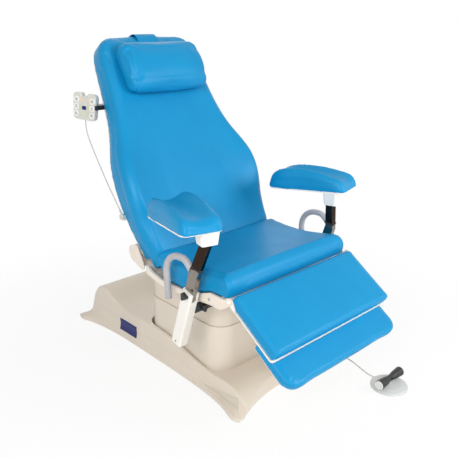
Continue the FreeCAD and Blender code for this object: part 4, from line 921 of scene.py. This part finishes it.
@dataclass
class Cord:
    """A cord that hangs or lies along a route.

    Attributes:
        node: The solid that it stands for.
        body: Body that it rides on.
        route: Control points from its exit.
        diameter: Outside diameter.
        length: Real length; not used.
        lay: How it lies; not used.
    """

    node: str
    body: str
    route: list[Point]
    diameter: float
    length: float
    lay: str

    def build(self) -> None:
        """Make the cord."""
        curve = bpy.data.curves.new(self.node + "_line", "CURVE")
        set_all(curve, dimensions="3D", bevel_depth=self.diameter / 2, bevel_resolution=6)
        set_all(curve, resolution_u=10, use_fill_caps=True)
        nurbs_line(curve, self.route)
        curve.materials.append(CORD_SHEATH.build())
        made = put(self.node + "_flex", curve)
        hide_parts(self.node)
        settle(made, self.body)


HANDSET_CORD = Cord(
    "handset_cord",
    "back",
    [
        (-0.3236, -0.3027, 0.978), (-0.3255, -0.3035, 0.957), (-0.315, -0.3045, 0.917),
        (-0.275, -0.3085, 0.868), (-0.230, -0.3135, 0.819), (-0.186, -0.3185, 0.774),
        (-0.139, -0.324, 0.729), (-0.095, -0.329, 0.690), (-0.0655, -0.3325, 0.665),
    ],
    0.0045,
    0.418,
    "hanging",
)
SWITCH_LEAD = Cord(
    "foot_switch_cord",
    "base",
    [
        (0.100, 0.275, 0.013), (0.101, 0.296, 0.0105), (0.113, 0.320, 0.005), (0.146, 0.336, 0.0028),
        (0.200, 0.340, 0.0028), (0.262, 0.344, 0.0028), (0.325, 0.358, 0.0028), (0.392, 0.369, 0.0028),
        (0.460, 0.366, 0.0028), (0.528, 0.352, 0.0028), (0.592, 0.341, 0.0028), (0.650, 0.322, 0.0028),
        (0.694, 0.307, 0.0034), (0.7195, 0.306, 0.006),
    ],
    0.005,
    0.667,
    "loose",
)


@dataclass
class BarePlate:
    """The plain navy plate on the near side of the base cover.

    Attributes:
        rear, front: Ends in X.
        low, high: Edges in Z.
        thick: Thickness.
        edge: Rounding of its edges.
        lie: Gap between the plate and the wall.
        outside: A place well outside the near wall, in Y.
    """

    rear: float = -0.266
    front: float = -0.140
    low: float = 0.034
    high: float = 0.088
    thick: float = 0.0012
    edge: float = 0.0005
    lie: float = 0.0002
    outside: float = -0.6

    def build(self) -> None:
        """Make the plate lie on the cover's wall."""
        wall = cover_faces()
        plate = bmesh.new()
        bmesh.ops.create_grid(plate, x_segments=18, y_segments=10, size=0.5)
        for vert in plate.verts:
            x = self.rear + (vert.co.x + 0.5) * (self.front - self.rear)
            z = self.low + (vert.co.y + 0.5) * (self.high - self.low)
            hit = wall.ray_cast(Vector((x, self.outside, z)), ACROSS)[0]
            vert.co = Vector((x, hit.y - self.lie, z))
        bmesh.ops.recalc_face_normals(plate, faces=plate.faces)
        made = from_bmesh("bare_base_plate", plate, Matrix.Identity(4), NAVY_PLATE)
        outward = 1.0 if made.data.polygons[0].normal.y < 0 else -1.0
        modify(made, "SOLIDIFY", thickness=self.thick, offset=outward)
        modify(made, "BEVEL", width=self.edge, segments=2)
        settle(made, "base")


@dataclass
class ToeFacets:
    """The three-cornered rimmed panels on the front toes of the base cover.

    Attributes:
        corners: Thin rear end, upper front corner and lower front corner of the right panel.
        look: Way from outside onto the right toe.
        rim: Width of the rim.
        rise: Height of the rim.
        sunk: How far the border lies under the cover's face.
        floor: Height of the panel inside its rim.
        thin: Where the panel starts, as a share of the way from its thin end.
    """

    corners: tuple[Point, Point, Point] = (
        (0.300, -0.248, 0.0285), (0.502, -0.235, 0.056), (0.530, -0.262, 0.0215)
    )
    look: Point = (-0.10, 0.75, -0.66)
    rim: float = 0.0055
    rise: float = 0.0030
    sunk: float = 0.0005
    floor: float = 0.0004
    thin: float = 0.03

    def build(self) -> None:
        """Make both panels."""
        wall = cover_faces()
        for side, name in SIDES:
            self._panel(wall, side, name)

    def _panel(self, wall: BVHTree, side: int, name: str) -> None:
        """Make one panel, laid on the cover.

        Args:
            wall: The cover's faces.
            side: 1 for the left toe, -1 for the right one.
            name: Name of the side.
        """
        rear, upper, lower = (mirrored(corner, -side) for corner in self.corners)
        look = mirrored(self.look, -side).normalized()
        length = (0.5 * (upper + lower) - rear).length
        width = (upper - lower).length
        panel = bmesh.new()
        bmesh.ops.create_grid(panel, x_segments=70, y_segments=26, size=0.5)
        for vert in panel.verts:
            along = self.thin + (1 - self.thin) * (vert.co.x + 0.5)
            across = vert.co.y + 0.5
            flat = rear + along * ((1 - across) * (upper - rear) + across * (lower - rear))
            border = min(across * along * width, (1 - across) * along * width, (1 - along) * length)
            hit, normal, _, _ = wall.ray_cast(flat - 0.1 * look, look)
            crest = max(0.0, 1.0 - abs(border / self.rim - 1.0))
            lift = self.rise * crest
            if border > self.rim:
                lift += self.floor
            if border < 0.1 * self.rim:
                lift -= self.sunk
            vert.co = hit + normal * lift
        settle(from_bmesh(f"toe_facet_{name}", panel, Matrix.Identity(4), TOE_PANEL), "base")


@dataclass
class Fasteners:
    """Screw heads and caps.

    Attributes:
        head, rise: Radius and height of a screw head.
        seat: How far a head reaches into what it sits on.
        board_rear: Rear face of the back board, in the back's frame.
        upright_rear: Rear face of the back's uprights, in the back's frame.
        upright_half: Distance of the uprights from the middle.
    """

    head: float = 0.0048
    rise: float = 0.0022
    seat: float = 0.0005
    board_rear: float = -0.003
    upright_rear: float = -0.011
    upright_half: float = 0.105

    SIDE_SCREWS = (
        ("post_foot_screw", (0.3287, 0.383, 0.2764), BRIGHT_STEEL, 0.9),
        ("leg_pin_cap", (0.541, 0.323, 0.485), WHITE_PLASTIC, 1.5),
        ("tray_screw", (0.444, 0.323, 0.460), GREY_TUBE, 1.2),
    )
    BOARD_SCREWS = (
        (0.10, 0.27), (0.32, 0.28), (0.56, 0.22), (0.80, 0.19)
    )
    UPRIGHT_BOLTS = (0.12, 0.36, 0.60)

    def screw(self, name: str, place: Matrix, body: str, finish: Finish, size: float) -> None:
        """Make a pan-head screw with a six-sided socket.

        Args:
            name: Piece name.
            place: Where it sits, Z out of the surface.
            body: Body that it rides on.
            finish: Its finish.
            size: Size against the usual one.
        """
        r = self.head * size
        h = self.rise * size
        profile = [
            (0.0, -self.seat), (r, -self.seat), (r, 0.35 * h), (0.86 * r, 0.8 * h), (0.6 * r, h), (0.0, h)
        ]
        shape = turned(profile, 24)
        socket = bmesh.new()
        bore = 0.42 * r
        bmesh.ops.create_cone(socket, cap_ends=True, segments=6, radius1=bore, radius2=bore, depth=h)
        bmesh.ops.translate(socket, verts=socket.verts, vec=(0, 0, 0.95 * h))
        body_object = from_bmesh(name, shape, place, finish)
        tool = from_bmesh(name + "_socket", socket, place, finish)
        bite = modify(body_object, "BOOLEAN", operation="DIFFERENCE", solver="EXACT", object=tool)
        mesh = evaluated_mesh(body_object)
        body_object.modifiers.remove(bite)
        body_object.data = mesh
        bpy.data.objects.remove(tool)
        settle(body_object, body)

    def build(self) -> None:
        """Make the fasteners of the posts, the leg rest, the tray and the back."""
        for side, name in SIDES:
            for kind, point, finish, size in self.SIDE_SCREWS:
                place = facing(mirrored(point, side), side * ACROSS)
                self.screw(f"{kind}_{name}", place, "seat", finish, size)
        rows = [("board_screw", self.board_rear, half, rise, 1.2) for rise, half in self.BOARD_SCREWS]
        rows += [
            ("upright_bolt", self.upright_rear, self.upright_half, rise, 1.7) for rise in self.UPRIGHT_BOLTS
        ]
        out = ON_BACK.to_3x3() @ Vector((-1, 0, 0))
        number = 0
        for kind, rear, half, rise, size in rows:
            for side in (-1, 1):
                number += 1
                place = facing(ON_BACK @ Vector((rear, side * half, rise)), out)
                self.screw(f"{kind}_{number}", place, "back", BRIGHT_STEEL, size)


@dataclass
class HandsetFace:
    """Raised rings round the keys, marks on them and the plain plate between them.

    Attributes:
        column: Distance of the keys from the middle.
        pitch: Distance between rows.
        face: Height of the case's face.
        key_top: Height of the keys' tops.
        key_radius: Radius of a key.
        shift: How far the keys' middle row lies below the middle.
        ring_gap, ring_width, ring_rise: Gap between a key and its ring, the ring's width and height.
        patch_in: Distance of a patch from its key.
    """

    column: float = 0.036
    pitch: float = 0.028
    face: float = 0.0125
    key_top: float = 0.0145
    key_radius: float = 0.007
    shift: float = 0.002
    ring_gap: float = 0.0006
    ring_width: float = 0.0044
    ring_rise: float = 0.0011
    patch_in: float = 0.0185

    def build(self) -> None:
        """Make every piece of the face."""
        number = 0
        for side in (-1, 1):
            for row in (1, 0, -1):
                number += 1
                self._key(number, side, row)
        self._plate()

    def _key(self, number: int, side: int, row: int) -> None:
        """Make the raised ring round one key, the mark on it and the tinted patch beside it.

        Args:
            number: Key number.
            side: 1 for the right column, -1 for the left one.
            row: Row of the key, counted from the middle.
        """
        inner = self.key_radius + self.ring_gap
        outer = inner + self.ring_width
        top = self.face + self.ring_rise
        foot = self.face - 0.0004
        profile = [
            (inner, foot), (inner, top - 0.0003), (inner + 0.0005, top), (outer - 0.0006, top),
            (outer, self.face + 0.0003), (outer, foot), (inner, foot),
        ]
        centre = Vector((side * self.column, row * self.pitch - self.shift, 0.0))
        place = HANDSET_PLACE @ Matrix.Translation(centre)
        ring = from_bmesh(f"key_ring_{number}", turned(profile, 36), place, WHITE_PLASTIC)
        settle(ring, "back")
        shape = bmesh.new()
        bmesh.ops.create_cone(
            shape, cap_ends=True, segments=3, radius1=0.0044, radius2=0.0040, depth=0.0006
        )
        turn = Matrix.Rotation(math.radians(0.0 if number % 2 else 180.0), 4, "Z")
        lift = Matrix.Translation(centre + Vector((0, 0, self.key_top + 0.0001)))
        finish = PALE_MARK if row == 0 else SLATE_MARK
        mark = from_bmesh(f"key_mark_{number}", shape, HANDSET_PLACE @ lift @ turn, finish, smooth=False)
        settle(mark, f"key_{number}")
        aside = Matrix.Translation(centre + Vector((-side * self.patch_in, 0.0, self.face)))
        finish = PEACH_PATCH if number % 3 == 1 else LEAF_PATCH
        shape = block((0.0095, 0.019, 0.0010), 0.0003, 2)
        settle(from_bmesh(f"key_patch_{number}", shape, HANDSET_PLACE @ aside, finish), "back")

    def _plate(self) -> None:
        """Make the plain plate in the middle of the face."""
        shape = block((0.019, 0.015, 0.0012), 0.0004, 2)
        place = HANDSET_PLACE @ Matrix.Translation((0, -2 * self.shift, self.face))
        settle(from_bmesh("bare_handset_plate", shape, place, NAVY_PLATE), "back")


@dataclass
class FootSwitchTrim:
    """End caps of the foot switch's roller.

    Attributes:
        centre: Roller's middle.
        half: Half-length of the roller.
        radius: Radius of an end cap.
    """

    centre: Point = (0.790, 0.305, 0.035)
    half: float = 0.075
    radius: float = 0.0178

    def build(self) -> None:
        """Make both end caps."""
        r = self.radius
        profile = [
            (0.0, -0.003), (r, -0.003), (r, 0.0004), (0.96 * r, 0.0017), (0.86 * r, 0.0021),
            (0.78 * r, 0.0014), (0.3 * r, 0.0010), (0.0, 0.0010),
        ]
        for side, name in SIDES:
            end = Vector(self.centre) + side * self.half * ACROSS
            place = facing(end, side * ACROSS)
            made = from_bmesh(f"roller_cap_{name}", turned(profile, 40), place, SWITCH_SHELL)
            settle(made, "foot_roller")


@dataclass
class ArmTrim:
    """End plugs of the grab handles and collars at the bend of the arm bars.

    Attributes:
        handle_end: Free end of the left handle.
        handle_way: Way up the handle from that end.
        handle_radius: Radius of the handle's tube.
        bend: Collar's place on the left bar.
        bar_way: Way up the left bar above its bend.
    """

    handle_end: Point = (0.272, 0.364, 0.421)
    handle_way: Point = (-0.013, 0.0, 0.173)
    handle_radius: float = 0.012
    bend: Point = (0.4226, 0.356, 0.5746)
    bar_way: Point = (0.182, -0.294, 0.938)

    def build(self) -> None:
        """Make the trim of both arms."""
        r = self.handle_radius
        profile = [(0.0, -0.004), (0.8 * r, -0.0042), (1.02 * r, -0.002), (1.04 * r, 0.0015), (0.0, 0.0015)]
        for side, name in SIDES:
            place = facing(mirrored(self.handle_end, side), self.handle_way)
            made = from_bmesh(f"handle_plug_{name}", turned(profile, 32), place, GREY_TUBE)
            settle(made, f"arm_{name}")
            up = mirrored(self.bar_way, side)
            across = up.cross(Vector((1, 0, 0))).normalized()
            fore = across.cross(up)
            turn = Matrix((fore, across, up)).transposed().to_4x4()
            place = Matrix.Translation(mirrored(self.bend, side)) @ turn
            collar = block((0.0436, 0.0236, 0.007), 0.002, 3)
            made = from_bmesh(f"bar_collar_{name}", collar, place, BLACK_RUBBER)
            settle(made, f"arm_{name}")


class Solids:
    """The carried-over solids and their finishes."""

    def dress(self) -> None:
        """Give every solid the finish of its slot."""
        for row in frame["record"]["subparts"]:
            made = frame["nodes"][row["node"]]
            finish = SLOT_FINISHES[row["material_slot"]]
            made.data.materials.clear()
            made.data.materials.append(finish.build())
            log.info("%s in %s", row["node"], finish.name)


@dataclass
class Studio:
    """Camera, floor and soft light.

    Attributes:
        eye: Camera place.
        pitch, heading: Camera's tilt from straight down and its turn, in degrees.
        lens: Focal length in millimetres.
        white: Floor and backdrop colour.
        ambient: Strength of the world's light.
        near_share: Glow of the floor near the object, which lets its shadow show.
        near, far: Reach of that glow, and where the floor is plain white.
    """

    eye: Point = (1.818, -1.511, 1.35)
    pitch: float = 70.677
    heading: float = 47.018
    lens: float = 46.53
    white: Colour = (250, 250, 250)
    ambient: float = 0.33
    near_share: float = 0.84
    near: float = 0.5
    far: float = 1.7

    # Each lamp's name, place, target, side in metres and power in watts.
    LAMPS = (
        ("key", (2.0, -2.8, 2.2), (0.0, 0.0, 0.5), 1.6, 76.0),
        ("front", (2.9, 1.2, 1.75), (0.1, 0.0, 0.5), 1.2, 49.0),
        ("top", (-0.4, 0.2, 3.6), (0.0, 0.0, 0.4), 3.0, 6.0),
        ("rear", (-2.8, 1.8, 2.2), (0.0, 0.0, 0.6), 2.2, 18.0),
    )

    def build(self) -> None:
        """Make the whole stage."""
        bpy.context.scene.view_settings.view_transform = "Standard"
        self._camera()
        self._world()
        self._floor()
        self._lamps()

    def _camera(self) -> None:
        """Make the camera at the photo's angle."""
        data = bpy.data.cameras.new("camera")
        set_all(data, lens=self.lens, sensor_width=36.0)
        made = put("camera", data)
        made.location = self.eye
        made.rotation_euler = (math.radians(self.pitch), 0.0, math.radians(self.heading))
        bpy.context.scene.camera = made

    def _world(self) -> None:
        """Make a plain white world that lights softly."""
        world = bpy.data.worlds.new("studio")
        bpy.context.scene.world = world
        world.use_nodes = True
        tree = Tree(world.node_tree)
        shown = tree.rays("Is Camera Ray", "Is Glossy Ray", "Is Transmission Ray")
        level = tree.add("ShaderNodeMapRange", {"Value": shown, "To Min": self.ambient, "To Max": 1.0})
        light = {"Color": (1.0, 1.0, 1.0, 1.0), "Strength": level.outputs["Result"]}
        tree.give(world.node_tree.nodes["Background"], light)

    def _floor(self) -> None:
        """Make the pale floor, which keeps a soft shadow."""
        shape = bmesh.new()
        bmesh.ops.create_circle(shape, cap_ends=True, radius=30.0, segments=64)
        mesh = bpy.data.meshes.new("floor")
        shape.to_mesh(mesh)
        shape.free()
        finish = bpy.data.materials.new("pale_floor")
        finish.use_nodes = True
        tree = Tree(finish.node_tree)
        shader = finish.node_tree.nodes["Principled BSDF"]
        tree.give(shader, {"Base Color": linear(self.white), "Roughness": 0.7})
        glow = tree.add("ShaderNodeEmission", {"Strength": 1.0}).outputs["Emission"]
        seen = tree.rays("Is Camera Ray", "Is Glossy Ray")
        reach = tree.add("ShaderNodeVectorMath", {0: tree.place()}, operation="LENGTH").outputs["Value"]
        ends = {"From Min": self.near, "From Max": self.far, "To Min": self.near_share, "To Max": 1.0}
        fade = tree.add("ShaderNodeMapRange", {"Value": reach, **ends}, interpolation_type="SMOOTHSTEP")
        share = tree.math("MULTIPLY", seen, fade.outputs["Result"])
        mix = tree.add("ShaderNodeMixShader", {"Fac": share, 1: shader.outputs["BSDF"], 2: glow})
        tree.give(finish.node_tree.nodes["Material Output"], {"Surface": mix.outputs["Shader"]})
        mesh.materials.append(finish)
        put("floor", mesh)

    def _lamps(self) -> None:
        """Make the soft lamps."""
        for name, place, target, size, power in self.LAMPS:
            data = bpy.data.lights.new(name, "AREA")
            set_all(data, shape="SQUARE", size=size, energy=power)
            made = put(name, data)
            made.location = place
            made.rotation_euler = (Vector(target) - Vector(place)).to_track_quat("-Z", "Y").to_euler()


def main() -> None:
    """Build the stage, dress the solids and make every new piece."""
    logging.basicConfig(level=logging.INFO, format="%(message)s")
    Studio().build()
    HANDSET_CORD.build()
    SWITCH_LEAD.build()
    Solids().dress()
    Upholstery().build()
    BarePlate().build()
    ToeFacets().build()
    Fasteners().build()
    HandsetFace().build()
    FootSwitchTrim().build()
    ArmTrim().build()


if __name__ == "__main__":
    main()
